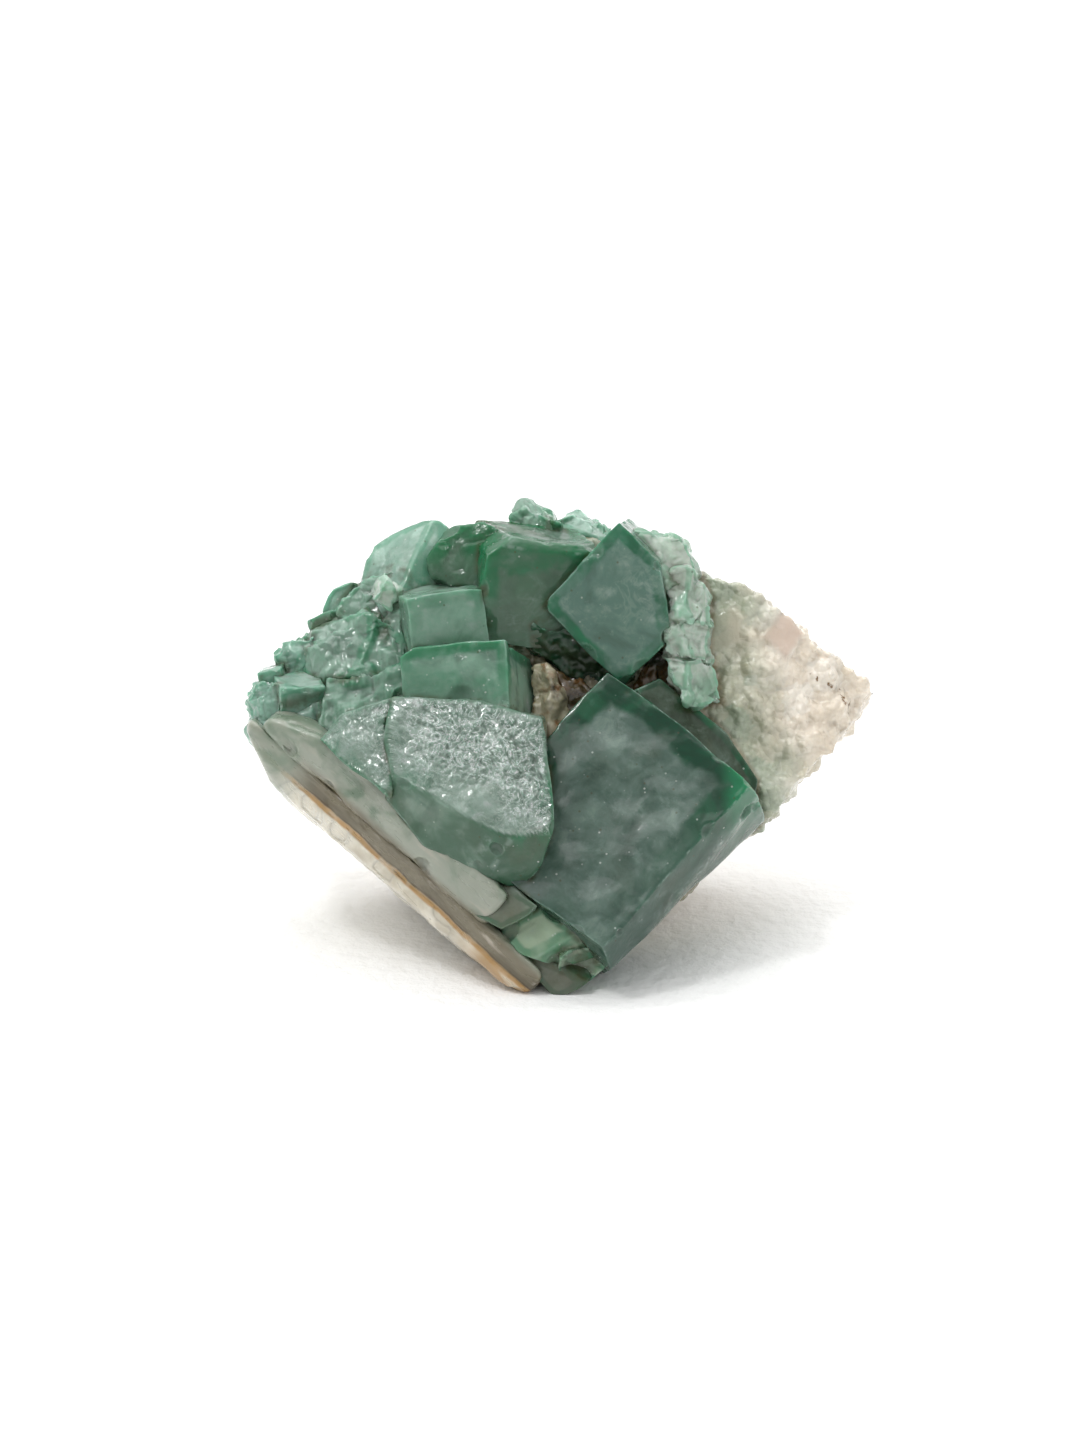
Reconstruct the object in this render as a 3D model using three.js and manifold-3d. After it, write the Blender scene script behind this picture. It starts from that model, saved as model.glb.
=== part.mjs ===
// A hand specimen of green fluorite cubes grown on white quartz, 73 mm across, in millimetres, +Z up.
// The crystals are laid out in the specimen's own frame: X to the right, Y back into the rock, Z up, with the
// faces that are worth looking at turned to -Y. The whole group then leans back, as the specimen rests on the
// flat foot at the end of its keel. The origin is at its base, under the middle of its bounding box.
import * as THREE from "three";
import { ConvexGeometry } from "three/addons/geometries/ConvexGeometry.js";
import { mergeVertices } from "three/addons/utils/BufferGeometryUtils.js";
import Module from "manifold-3d";

const LEAN = 20; // degrees that the front faces tip back from upright
const GAP = 0.3; // clear space left between neighbouring pieces
const FOOT_FRONT = -9; // depth at which the foot's front edge meets the specimen's lowest point
const BLOCK = 200; // larger than the specimen, for the half-space below the foot
const TOUCH = 1e-4; // two corners nearer than this are one
const PARALLEL = 1e-6; // three planes whose normals' triple product is under this don't meet in one corner

// The broken left side of the keel: its layers run down to the right at this slope, from this point.
const BED_SLOPE = 41;
const BED_START = [-31.6, 23];
const BED_BACK = 17; // depth at which the layers end
const BREAK_FACING = [-0.4, -0.885, -0.24]; // the way the broken front ends of the layers face
const BREAK_THROUGH = [-15, -9.6, 17];

const MINERALS = {
  deep_fluorite: { color: "#49685a", roughness: 0.22, metalness: 0 },
  green_fluorite: { color: "#5f8f74", roughness: 0.25, metalness: 0 },
  pale_fluorite: { color: "#93b8a4", roughness: 0.28, metalness: 0 },
  grey_fluorite: { color: "#6f7d6f", roughness: 0.3, metalness: 0 },
  lilac_quartz: { color: "#8c9183", roughness: 0.35, metalness: 0 },
  white_quartz: { color: "#d9d0c2", roughness: 0.45, metalness: 0 },
  rusty_quartz: { color: "#7b6f4d", roughness: 0.6, metalness: 0 },
};

const wasm = await Module();
wasm.setup();
const { degToRad } = THREE.MathUtils;

// ---- Shapes from planes -------------------------------------------------------------------------

/** A plane through a point whose normal points out of the crystal. */
function facet(normal, through) {
  const outward = new THREE.Vector3(...normal).normalize();
  return new THREE.Plane().setFromNormalAndCoplanarPoint(outward, new THREE.Vector3(...through));
}

/** The six faces of a block whose front face is centred on the origin and faces -Y. */
function blockFacets([across, deep, tall]) {
  return [
    facet([0, -1, 0], [0, 0, 0]),
    facet([0, 1, 0], [0, deep, 0]),
    facet([1, 0, 0], [across / 2, 0, 0]),
    facet([-1, 0, 0], [-across / 2, 0, 0]),
    facet([0, 0, 1], [0, 0, tall / 2]),
    facet([0, 0, -1], [0, 0, -tall / 2]),
  ];
}

/** The sides, front and back of a prism along Y, from [x, z] points that run anticlockwise seen from -Y. */
function prismFacets(outline, front, back) {
  const sides = outline.map(([x, z], i) => {
    const [nextX, nextZ] = outline[(i + 1) % outline.length];
    return facet([nextZ - z, 0, x - nextX], [x, 0, z]);
  });
  return [facet([0, -1, 0], [0, front, 0]), facet([0, 1, 0], [0, back, 0]), ...sides];
}

/** The point where three planes meet, or null where they don't. */
function meetingPoint(a, b, c) {
  const across = b.normal.clone().cross(c.normal);
  const volume = a.normal.dot(across);
  if (Math.abs(volume) < PARALLEL) return null;
  return across
    .multiplyScalar(-a.constant)
    .addScaledVector(c.normal.clone().cross(a.normal), -b.constant)
    .addScaledVector(a.normal.clone().cross(b.normal), -c.constant)
    .divideScalar(volume);
}

/** The corners of the space inside all the facets. */
function cornersOf(facets) {
  const corners = [];
  const keep = (point) => {
    if (!point || facets.some((f) => f.distanceToPoint(point) > TOUCH)) return;
    if (!corners.some((corner) => corner.distanceTo(point) < TOUCH)) corners.push(point);
  };
  for (let i = 0; i < facets.length; i++)
    for (let j = i + 1; j < facets.length; j++)
      for (let k = j + 1; k < facets.length; k++) keep(meetingPoint(facets[i], facets[j], facets[k]));
  return corners;
}

/** The triangles of one facet, as a fan round its corners. */
function fanOf(face, corners) {
  const own = corners.filter((corner) => Math.abs(face.distanceToPoint(corner)) < 2 * TOUCH);
  if (own.length < 3) return [];
  const middle = own.reduce((sum, corner) => sum.add(corner), new THREE.Vector3()).divideScalar(own.length);
  const right = own[0].clone().sub(middle).normalize();
  const up = face.normal.clone().cross(right);
  const turn = (corner) => {
    const arm = corner.clone().sub(middle);
    return Math.atan2(arm.dot(up), arm.dot(right));
  };
  const ring = [...own].sort((a, b) => turn(a) - turn(b));
  return ring.slice(2).flatMap((corner, i) => [ring[0], ring[i + 1], corner]);
}

/** The closed geometry inside all the facets, each moved outwards by `grow`. */
function geometryInside(facets, grow = 0) {
  const moved = facets.map((f) => new THREE.Plane(f.normal, f.constant - grow));
  const corners = cornersOf(moved);
  return new THREE.BufferGeometry().setFromPoints(moved.flatMap((face) => fanOf(face, corners)));
}

// ---- Solids and meshes --------------------------------------------------------------------------

/** A geometry, moved by a matrix, as a solid. */
function solidOf(geometry, matrix = new THREE.Matrix4()) {
  const loose = geometry.index ? geometry.toNonIndexed() : geometry;
  const bare = new THREE.BufferGeometry().setAttribute("position", loose.getAttribute("position").clone());
  const merged = mergeVertices(bare.applyMatrix4(matrix), TOUCH);
  return new wasm.Manifold(
    new wasm.Mesh({
      numProp: 3,
      vertProperties: merged.attributes.position.array,
      triVerts: new Uint32Array(merged.index.array),
    }),
  );
}

/** A solid's largest body as a flat-shaded geometry, moved by a matrix. */
function geometryOf(solid, matrix) {
  const largest = solid.decompose().reduce((best, body) => (body.volume() > best.volume() ? body : best));
  const { numProp, numVert, vertProperties, triVerts } = largest.getMesh();
  const position = new Float32Array(numVert * 3);
  for (let i = 0; i < numVert; i++) {
    const start = i * numProp;
    position.set(vertProperties.subarray(start, start + 3), i * 3);
  }
  const flat = new THREE.BufferGeometry()
    .setAttribute("position", new THREE.BufferAttribute(position, 3))
    .setIndex(new THREE.BufferAttribute(new Uint32Array(triVerts), 1))
    .applyMatrix4(matrix)
    .toNonIndexed();
  flat.computeVertexNormals();
  return flat;
}

/** Everything below the foot's flat, which no piece may enter. */
function groundSolid() {
  const ground = new THREE.BoxGeometry(BLOCK, BLOCK, BLOCK).translate(0, 0, -BLOCK / 2);
  const place = new THREE.Matrix4().makeRotationX(degToRad(LEAN)).setPosition(0, FOOT_FRONT, 0);
  return solidOf(ground, place);
}

const specimen = new THREE.Group();
specimen.name = "specimen";
const taken = [groundSolid()];

/** Adds one piece where no earlier piece is, and keeps its space and the gap round it for itself. */
function addPiece(name, mineral, bare, grown, place = new THREE.Matrix4()) {
  const solid = taken.reduce((left, other) => left.subtract(other), solidOf(bare, place));
  const mesh = new THREE.Mesh(
    geometryOf(solid, place.clone().invert()),
    new THREE.MeshStandardMaterial({ ...MINERALS[mineral], flatShading: true }),
  );
  mesh.name = name;
  place.decompose(mesh.position, mesh.quaternion, mesh.scale);
  specimen.add(mesh);
  taken.push(solidOf(grown, place));
}

/**
 * A block crystal. `at` is the middle of its front face. `turn` is its yaw, pitch and roll in degrees:
 * yaw above 0 turns the face right, pitch below 0 tips it up, and roll above 0 turns it clockwise.
 * `chips` are corners or edges broken off, each a normal and a point in the cube's own axes, and `breaks` are
 * the same in the specimen's.
 */
function addCube({ name, mineral, size, at, turn, chips = [], breaks = [] }) {
  const [yaw, pitch, roll] = turn.map(degToRad);
  const place = new THREE.Matrix4()
    .makeRotationFromEuler(new THREE.Euler(pitch, roll, yaw, "ZXY"))
    .setPosition(...at);
  const toCube = place.clone().invert();
  const facets = [
    ...blockFacets(size),
    ...chips.map(([normal, through]) => facet(normal, through)),
    ...breaks.map(([normal, through]) => facet(normal, through).applyMatrix4(toCube)),
  ];
  addPiece(name, mineral, geometryInside(facets), geometryInside(facets, GAP), place);
}

/** A crystal given by its outline in the specimen's X and Z, its front and back depths, and extra facets. */
function addPrism({ name, mineral, outline, front, back, facets = [] }) {
  const cuts = facets.map(([normal, through]) => facet(normal, through));
  const all = [...prismFacets(outline, front, back), ...cuts];
  addPiece(name, mineral, geometryInside(all), geometryInside(all, GAP));
}

/** A layer of the keel's left side, between two lines that may slope apart, cut off by the broken front. */
function addLayer({ name, mineral, inner, outer, from, to, sunk, ends = [] }) {
  const alongBed = (distance, inwards) => {
    const slope = degToRad(BED_SLOPE);
    const x = BED_START[0] + distance * Math.cos(slope) + inwards * Math.sin(slope);
    const z = BED_START[1] - distance * Math.sin(slope) + inwards * Math.cos(slope);
    return [x, z];
  };
  const outerEnds = [alongBed(from, outer[0]), alongBed(to, outer[1])];
  const innerEnds = [alongBed(to, inner[1]), alongBed(from, inner[0])];
  const [x, y, z] = BREAK_THROUGH;
  const facets = [[BREAK_FACING, [x, y + sunk, z]], ...ends];
  const outline = [...outerEnds, ...innerEnds];
  addPrism({ name, mineral, outline, front: 2 * FOOT_FRONT, back: BED_BACK, facets });
}

// ---- The crystals, front to back ----------------------------------------------------------------

const FRONT_RIGHT_CUBE = {
  name: "front_right_cube",
  mineral: "deep_fluorite",
  size: [21.6, 14, 25.6],
  at: [5.4, -9, 20.5],
  turn: [-6, -21, 38],
  chips: [[[0.5, -0.3, 0.8], [10.8, 0, 12.1]]],
  breaks: [
    [[0.72, -0.44, -0.53], [6, -13.5, 6.5]],
    [[0.68, 0, -0.735], [6.2, 0, 3.9]],
  ],
};

const FRONT_LEFT_CRYSTALS = [
  {
    name: "front_left_cube",
    mineral: "deep_fluorite",
    outline: [
      [-18.9, 33.4], [-20.3, 23], [-15.3, 16.9], [-9.1, 14.1],
      [-4.6, 12], [-2.3, 15.1], [-1.2, 19.2], [-1.6, 26.5],
      [-2.2, 31.1], [-9.1, 32.8],
    ],
    front: -17,
    back: -3,
    facets: [
      [[-0.06, -0.93, 0.36], [-10, -12.4, 25]],
      [[-0.94, -0.34, 0], [-18.9, -11.5, 28]],
      [[0.06, -0.72, -0.69], [-4.5, -15.4, 17.7]],
      [[-0.28, -0.8, -0.53], [-11.5, -14.4, 19.4]],
      [[-0.45, -0.8, -0.4], [-15.5, -12.8, 22.9]],
    ],
  },
  {
    name: "front_left_step",
    mineral: "green_fluorite",
    outline: [[-27.1, 28.9], [-19.6, 22.6], [-18, 33.5], [-20, 32.9], [-24.4, 31.8]],
    front: -12,
    back: 1,
    facets: [[[-0.2, -0.93, 0.3], [-22, -9, 29]]],
  },
];

const CUBES = [
  {
    name: "middle_cube",
    mineral: "green_fluorite",
    size: [11.8, 13, 12.5],
    at: [-12.1, -6, 33.4],
    turn: [-18, -12, -6],
    chips: [[[-0.5, 0, 0.87], [-4.6, 0, 6.2]]],
  },
  {
    name: "small_stepped_cube",
    mineral: "green_fluorite",
    size: [8.6, 9, 7.5],
    at: [-12.7, -2, 41.6],
    turn: [13, 8, -8],
  },
  {
    name: "upper_right_cube",
    mineral: "deep_fluorite",
    size: [12.8, 12, 12.8],
    at: [7, -2, 44.3],
    turn: [-6, 4, 44],
    breaks: [
      [[-1, -0.1, 0], [-1.4, -2, 45]],
      [[-0.75, -0.6, 0.3], [-0.2, -2.2, 47]],
      [[0.98, -0.1, 0.15], [11.8, -2, 45]],
      [[0.87, -0.1, 0.48], [10.3, -2, 51.3]],
    ],
  },
  {
    name: "upper_centre_cube",
    mineral: "deep_fluorite",
    size: [12.4, 11, 12],
    at: [-2.6, 0, 45.4],
    turn: [12, 12, 5],
    chips: [
      [[-0.62, -0.1, 0.78], [-4.6, 0, 5.3]],
      [[0, -0.75, 0.66], [0, 0, 5.2]],
    ],
  },
  {
    name: "left_flat_cube",
    mineral: "pale_fluorite",
    size: [4.4, 4.5, 3.2],
    at: [-29.6, -1.2, 33.1],
    turn: [16, 22, -6],
  },
  {
    name: "left_tiny_cube",
    mineral: "pale_fluorite",
    size: [2.2, 3, 2.2],
    at: [-33.3, 2, 35.6],
    turn: [-12, 10, -14],
  },
  {
    name: "left_bead_crystal",
    mineral: "pale_fluorite",
    size: [2.2, 2.6, 2.2],
    at: [-19.7, 0.6, 45.4],
    turn: [20, 18, 28],
    chips: [[[0.6, -0.6, 0.6], [1, 0, 0.8]], [[-0.6, -0.6, 0.6], [-1, 0, 0.8]]],
  },
];

const UPPER_CRYSTALS = [
  {
    name: "upper_centre_shoulder",
    mineral: "green_fluorite",
    outline: [[-14.6, 49.5], [-13.9, 45], [-7, 44], [-6.5, 52.5], [-9.2, 53.9], [-12.6, 53]],
    front: 2,
    back: 12,
    facets: [[[-0.35, -0.9, 0.2], [-11, 3, 49]]],
  },
  {
    name: "upper_left_pale_cube",
    mineral: "pale_fluorite",
    outline: [
      [-23.1, 47.2], [-20, 42.5], [-12.5, 44], [-12.4, 52.8],
      [-14.2, 54.2], [-16, 54.2], [-18.6, 52.9], [-21.9, 50.6],
    ],
    front: 3,
    back: 15,
    facets: [
      [[-0.55, -0.66, 0.5], [-18, 5.5, 49]],
      [[0.42, -0.88, 0.2], [-16.5, 5.2, 50]],
    ],
  },
  {
    name: "top_bud_left",
    mineral: "pale_fluorite",
    outline: [[-5.6, 54.3], [-6, 50], [-1, 50], [-1.4, 54.6], [-2.6, 55.7], [-3.8, 56]],
    front: 8,
    back: 15,
    facets: [[[-0.3, -0.9, 0.2], [-3.5, 10, 54]]],
  },
  {
    name: "top_bud_right",
    mineral: "green_fluorite",
    outline: [[-1.9, 54.8], [-1.8, 50], [1, 50], [0.2, 53.7]],
    front: 9,
    back: 14,
  },
  {
    name: "top_pale_cluster",
    mineral: "pale_fluorite",
    outline: [[-0.3, 54.2], [-0.6, 49], [6.5, 49], [6.2, 52.8], [4.8, 54.6], [3, 55.2], [1, 55]],
    front: 11,
    back: 17,
    facets: [[[0.2, -0.8, 0.5], [3, 12, 54]]],
  },
  {
    name: "left_rounded_cluster",
    mineral: "green_fluorite",
    outline: [
      [-30.1, 40.2], [-30, 34.5], [-26, 31.5], [-18, 33],
      [-18, 39.5], [-19.8, 42.3], [-23, 43.3], [-27.9, 42.3],
    ],
    front: -1,
    back: 12,
    facets: [
      [[-0.45, -0.75, 0.45], [-26.5, 2, 39]],
      [[0.2, -0.93, 0.3], [-21, -0.2, 38]],
      [[-0.1, -0.85, -0.5], [-24, 0.4, 34]],
    ],
  },
  {
    name: "left_green_block",
    mineral: "green_fluorite",
    outline: [
      [-25.9, 44.3], [-25.6, 39], [-15, 38.5], [-15, 47],
      [-19.6, 48.6], [-22.6, 47.6], [-23.9, 46.5],
    ],
    front: 0.5,
    back: 13,
    facets: [[[-0.35, -0.85, 0.4], [-20, 3.6, 45]]],
  },
  {
    name: "left_pale_cube",
    mineral: "pale_fluorite",
    outline: [[-27.2, 43.2], [-27, 41], [-23, 41], [-23.4, 46.6], [-24.4, 46.8], [-26.2, 46], [-26.9, 45]],
    front: 7,
    back: 13,
  },
  {
    name: "left_thin_plate",
    mineral: "green_fluorite",
    outline: [[-29.2, 42.4], [-29, 41], [-24, 41.5], [-24.6, 43.9], [-27.4, 43.2]],
    front: 5,
    back: 8.5,
  },
  {
    name: "left_edge_cluster",
    mineral: "pale_fluorite",
    outline: [[-33.1, 36.4], [-33.2, 33.5], [-29, 33], [-29, 40.4], [-31.8, 39.6], [-32.7, 38.2]],
    front: 2.2,
    back: 12,
    facets: [[[-0.45, -0.85, 0.25], [-31, 3.5, 37]]],
  },
  {
    name: "left_end_block",
    mineral: "pale_fluorite",
    outline: [
      [-36.1, 33], [-36, 30], [-34, 27.5], [-27.5, 29.5],
      [-27.5, 33.5], [-34.3, 35.6], [-35.5, 34.7],
    ],
    front: -3,
    back: 12,
    facets: [
      [[-0.75, -0.65, 0.1], [-34.6, 0.5, 32]],
      [[0.12, -0.98, 0.12], [-31, -1.8, 31]],
    ],
  },
  {
    name: "left_olive_crystal",
    mineral: "deep_fluorite",
    outline: [[-27.6, 30.4], [-27, 28.5], [-18, 30], [-18, 36.3], [-26.8, 35.6]],
    front: -3.5,
    back: 6,
    facets: [[[-0.15, -0.88, 0.45], [-22, -2.6, 33]]],
  },
];

const DRUSE_CRYSTALS = [
  {
    name: "druse_pale_cube",
    mineral: "pale_fluorite",
    outline: [
      [8.8, 53.3], [8.8, 46.5], [15, 46.5], [16, 48],
      [15.4, 49.7], [14.6, 51.3], [13.6, 52.4], [11.9, 52.5],
    ],
    front: -0.8,
    back: 10,
    facets: [[[0.35, -0.85, 0.35], [12.5, 0.2, 50]]],
  },
  {
    name: "druse_upper_crystal",
    mineral: "pale_fluorite",
    outline: [[11.9, 47.4], [11.2, 42.5], [17, 42], [17.2, 45], [15.9, 47.8], [13.5, 48.4]],
    front: -2.6,
    back: 6,
    facets: [[[-0.3, -0.9, 0.3], [13, -2, 45]], [[0.6, -0.75, 0.1], [15.5, -1.5, 45]]],
  },
  {
    name: "druse_middle_crystal",
    mineral: "pale_fluorite",
    outline: [[11.5, 42.2], [12.4, 38.4], [16.9, 37.8], [16.8, 42.2]],
    front: -2.8,
    back: 6,
    facets: [[[-0.45, -0.85, -0.1], [12.8, -2.3, 40]], [[0.55, -0.8, 0.2], [15.3, -1.8, 40]]],
  },
  {
    name: "druse_lower_crystal",
    mineral: "pale_fluorite",
    outline: [[12.1, 38.2], [13.9, 33.3], [15, 32.4], [18.2, 33.4], [17.2, 38]],
    front: -3.2,
    back: 6,
    facets: [[[-0.5, -0.84, 0.1], [13.6, -2.6, 36]], [[0.55, -0.8, 0.1], [16, -2, 36]]],
  },
  {
    name: "edge_dark_crystal",
    mineral: "deep_fluorite",
    outline: [[7.5, 33.5], [14, 25], [22, 21.5], [22.3, 24], [18.6, 29.6], [14.5, 33], [11.5, 35.6]],
    front: -3.4,
    back: 6,
    facets: [[[0.3, -0.9, 0.3], [14, -2.4, 31]]],
  },
];

const CAVITY_CRYSTALS = [
  {
    name: "cavity_olive_crystal",
    mineral: "deep_fluorite",
    outline: [[-6.4, 42], [-3.6, 37.5], [0.8, 36.4], [4.5, 33.5], [8.5, 35.5], [7.5, 42.5]],
    front: 0.4,
    back: 9,
    facets: [[[-0.1, -0.9, -0.45], [1.5, 1.8, 38]]],
  },
  {
    name: "cavity_quartz_crystal",
    mineral: "white_quartz",
    outline: [[-2.6, 36.9], [-2.6, 27], [1.4, 27], [0.6, 33.8], [-0.3, 36], [-1.6, 37.1]],
    front: -1.2,
    back: 8,
    facets: [[[-0.5, -0.86, 0.1], [-1.4, -0.6, 33]], [[0.6, -0.8, 0.1], [-0.4, -0.4, 33]]],
  },
  {
    name: "cavity_brown_crystal",
    mineral: "rusty_quartz",
    outline: [[-0.6, 36.6], [0.4, 31], [4.8, 31], [3.6, 34.2], [2, 35.8]],
    front: 0.6,
    back: 8,
    facets: [[[0.3, -0.85, 0.4], [1.6, 1, 35]]],
  },
  {
    name: "cavity_amber_crystal",
    mineral: "rusty_quartz",
    outline: [[7.4, 39.8], [7.6, 32.5], [13, 32.5], [12.6, 38.6], [10.4, 40.2]],
    front: 1.6,
    back: 8,
    facets: [[[-0.3, -0.9, 0.3], [9.5, 2.2, 36.5]]],
  },
];

const KEEL_CRYSTALS = [
  {
    name: "keel_wedge_crystal",
    mineral: "green_fluorite",
    outline: [[-11.8, 12.9], [-9.8, 9.4], [-6.8, 7.6], [-2.7, 9.9], [-7.2, 13.6]],
    front: -12.5,
    back: -3,
    facets: [[[-0.35, -0.9, 0.25], [-7.5, -10.4, 10.8]]],
  },
  {
    name: "keel_dark_cube",
    mineral: "deep_fluorite",
    outline: [[-7.2, 7.9], [-4.5, 4.9], [-0.5, 3.4], [4.4, 4.2], [3, 12], [-4.4, 13]],
    front: -12,
    back: 0,
    facets: [[[-0.2, -0.97, 0.12], [-1.5, -10.5, 8]], [[0.2, -0.8, -0.55], [0, -10.4, 5]]],
  },
  {
    name: "keel_green_lump",
    mineral: "green_fluorite",
    outline: [[0, 5.6], [0.4, 2.8], [3.2, 1.9], [5.2, 3.6], [4.6, 6.2]],
    front: -11.2,
    back: -2,
    facets: [[[0.1, -0.92, 0.38], [2.6, -10.6, 4.2]]],
  },
  {
    name: "keel_tip",
    mineral: "grey_fluorite",
    outline: [[-8.4, 7.8], [-4.2, 3.6], [-3.6, -0.2], [0.2, 0.3], [3.6, 2.2], [5.8, 4.4], [4, 9], [-5, 10]],
    front: -11,
    back: 3,
    facets: [[[-0.15, -0.97, -0.18], [-2.5, -9, 3]]],
  },
];

const LAYERS = [
  {
    name: "left_slope",
    mineral: "grey_fluorite",
    inner: [8.2, 8.2],
    outer: [3.9, 3.9],
    from: -6.5,
    to: 27,
    sunk: 0,
    ends: [[[-0.9, 0, -0.43], [-34.6, 0, 28.6]], [[0.25, -0.3, 0.92], [-27.3, -7.6, 29]]],
  },
  {
    name: "white_rind",
    mineral: "white_quartz",
    inner: [1.6, 1.3],
    outer: [0, 0],
    from: 0.6,
    to: 25,
    sunk: 0.6,
  },
  {
    name: "rust_seam",
    mineral: "rusty_quartz",
    inner: [2.6, 1.2],
    outer: [0, -0.2],
    from: -0.8,
    to: 36,
    sunk: 0.6,
    ends: [[[-0.66, 0, -0.76], [-30.6, 0, 22.3]]],
  },
  {
    name: "lilac_quartz_band",
    mineral: "lilac_quartz",
    inner: [3.6, 3.6],
    outer: [-0.2, -0.2],
    from: -8,
    to: 36,
    sunk: 0.35,
    ends: [[[-0.86, 0, -0.5], [-33.4, 0, 25]], [[-0.95, 0, -0.3], [-35.3, 0, 28.5]]],
  },
];

/** The quartz that everything sits in: the hull of its knobs, less the space that the crystals take. */
const MATRIX_KNOBS = {
  rightLobe: [
    [15.6, 3.4, 48.6], [18.5, 3, 47.2], [22.7, 3.2, 45.8],
    [26.4, 3.4, 42.9], [29.9, 4, 39.6], [34, 6, 35.7],
    [36.8, 8, 34.2], [36.6, 9, 33], [34.2, 6, 30.4], [30.2, 3.6, 26.2], [24.4, 2.6, 20.6], [22.9, 3, 19.2],
    [14, 1.8, 27], [12, 2.4, 44],
  ],
  leftShoulder: [[-34, 8, 33], [-33.4, 12, 28], [-29.5, 9, 40], [-25, 11, 45.5], [-30, 8, 24.5]],
  crown: [[-20, 13, 50.5], [-14, 14, 52.5], [-3, 15, 53.5], [6, 15, 52], [13, 12, 49.5]],
  back: [
    [-31, 19, 34], [-22, 23, 42], [-8, 25, 47], [6, 25, 46],
    [20, 22, 41], [30, 17, 34.5], [30, 16, 29], [22, 21, 23],
    [-28, 19, 24], [-6, 26, 30], [12, 26, 32],
  ],
  keel: [
    [-5.5, 1, 1], [4.4, 1, 3], [-17, 19, 12], [15, 20, 13],
    [-10, 24, 8], [9, 24, 8], [19, 12, 17], [-24, 14, 17.5],
  ],
};

addCube(FRONT_RIGHT_CUBE);
FRONT_LEFT_CRYSTALS.forEach(addPrism);
CUBES.forEach(addCube);
UPPER_CRYSTALS.forEach(addPrism);
DRUSE_CRYSTALS.forEach(addPrism);
CAVITY_CRYSTALS.forEach(addPrism);
KEEL_CRYSTALS.forEach(addPrism);
LAYERS.forEach(addLayer);
const matrixHull = new ConvexGeometry(
  Object.values(MATRIX_KNOBS).flatMap((knobs) => knobs.map((knob) => new THREE.Vector3(...knob))),
);
addPiece("quartz_matrix", "white_quartz", matrixHull, matrixHull);

// ---- Lean the specimen back and stand it on its foot, over the origin ---------------------------

specimen.rotation.x = -degToRad(LEAN);
specimen.updateMatrixWorld(true);
const box = new THREE.Box3().setFromObject(specimen, true);
const middle = box.getCenter(new THREE.Vector3());
specimen.position.set(-middle.x, -middle.y, -box.min.z);

const part = new THREE.Group();
part.add(specimen);
part.updateMatrixWorld(true);

export default part;
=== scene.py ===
"""A hand specimen of green fluorite cubes on white quartz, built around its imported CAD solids.

Every crystal is a closed surface worked out with numpy: the box round its CAD solid is covered with a grid,
and each grid point slides along its ray from the middle until it meets the crystal's rounded, chipped
facets. Waves, growth steps and the ripples of broken faces then move it in or out. The banded side of the
keel is made the same way, and the quartz is an evenly remeshed hull with a crust of small crystals in relief.
Lengths inside this file are millimetres, and meshes are written in metres.
"""

import logging
import math
from collections.abc import Callable, Iterable
from dataclasses import dataclass, field, replace
from enum import Enum

import bmesh
import bpy
import numpy as np
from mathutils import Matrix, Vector


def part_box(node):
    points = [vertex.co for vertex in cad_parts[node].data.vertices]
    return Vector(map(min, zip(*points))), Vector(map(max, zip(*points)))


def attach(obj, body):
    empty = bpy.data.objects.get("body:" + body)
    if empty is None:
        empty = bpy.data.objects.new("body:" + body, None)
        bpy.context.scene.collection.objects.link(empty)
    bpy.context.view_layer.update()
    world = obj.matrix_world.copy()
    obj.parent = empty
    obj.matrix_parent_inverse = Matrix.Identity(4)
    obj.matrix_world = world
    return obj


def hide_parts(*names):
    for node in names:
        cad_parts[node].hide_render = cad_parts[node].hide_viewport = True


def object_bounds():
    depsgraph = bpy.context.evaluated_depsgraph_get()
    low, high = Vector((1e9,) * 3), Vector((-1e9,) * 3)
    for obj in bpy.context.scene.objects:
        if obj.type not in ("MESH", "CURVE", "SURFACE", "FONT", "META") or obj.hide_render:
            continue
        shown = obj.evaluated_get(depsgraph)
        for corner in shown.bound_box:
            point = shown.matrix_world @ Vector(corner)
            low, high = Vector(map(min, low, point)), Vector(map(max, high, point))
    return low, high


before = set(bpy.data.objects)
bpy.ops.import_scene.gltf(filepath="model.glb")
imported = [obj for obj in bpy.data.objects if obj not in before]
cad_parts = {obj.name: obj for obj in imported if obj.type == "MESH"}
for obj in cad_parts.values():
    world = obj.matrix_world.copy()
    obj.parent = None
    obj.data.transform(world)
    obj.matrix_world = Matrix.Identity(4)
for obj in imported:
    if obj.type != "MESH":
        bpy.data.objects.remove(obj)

CAD_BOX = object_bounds()

MM = 0.001
LEAN_DEG = 20.0  # how far the specimen's front tips back, which is also how far the camera looks down
BED_SLOPE_DEG = 41.0  # the slope of the banded side's layers, seen from the front
SLIVER = 0.02  # hull triangles under this area, in square millimetres, have no reliable normal
SAME_FACET_DEG = 4.0  # hull triangles whose normals are this close lie in one facet
SQUARE = 0.35  # the largest cosine between the normals of two facets that count as square to each other
HALVINGS = 18  # how often a ray is halved to find where it meets a surface
CRUST_TURNS = 24  # how many ways the crystals of a crust are turned
FAR = 9.0  # a distance past which nothing matters
BROAD = 7.0  # the size of the slow waves that keep a crystal's faces and edges from being quite straight
log = logging.getLogger("fluorite")

Array = np.ndarray
Colour = tuple[float, float, float]
Direction = tuple[float, float, float]


# ---- Numbers and noise ---------------------------------------------------------------------------


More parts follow.
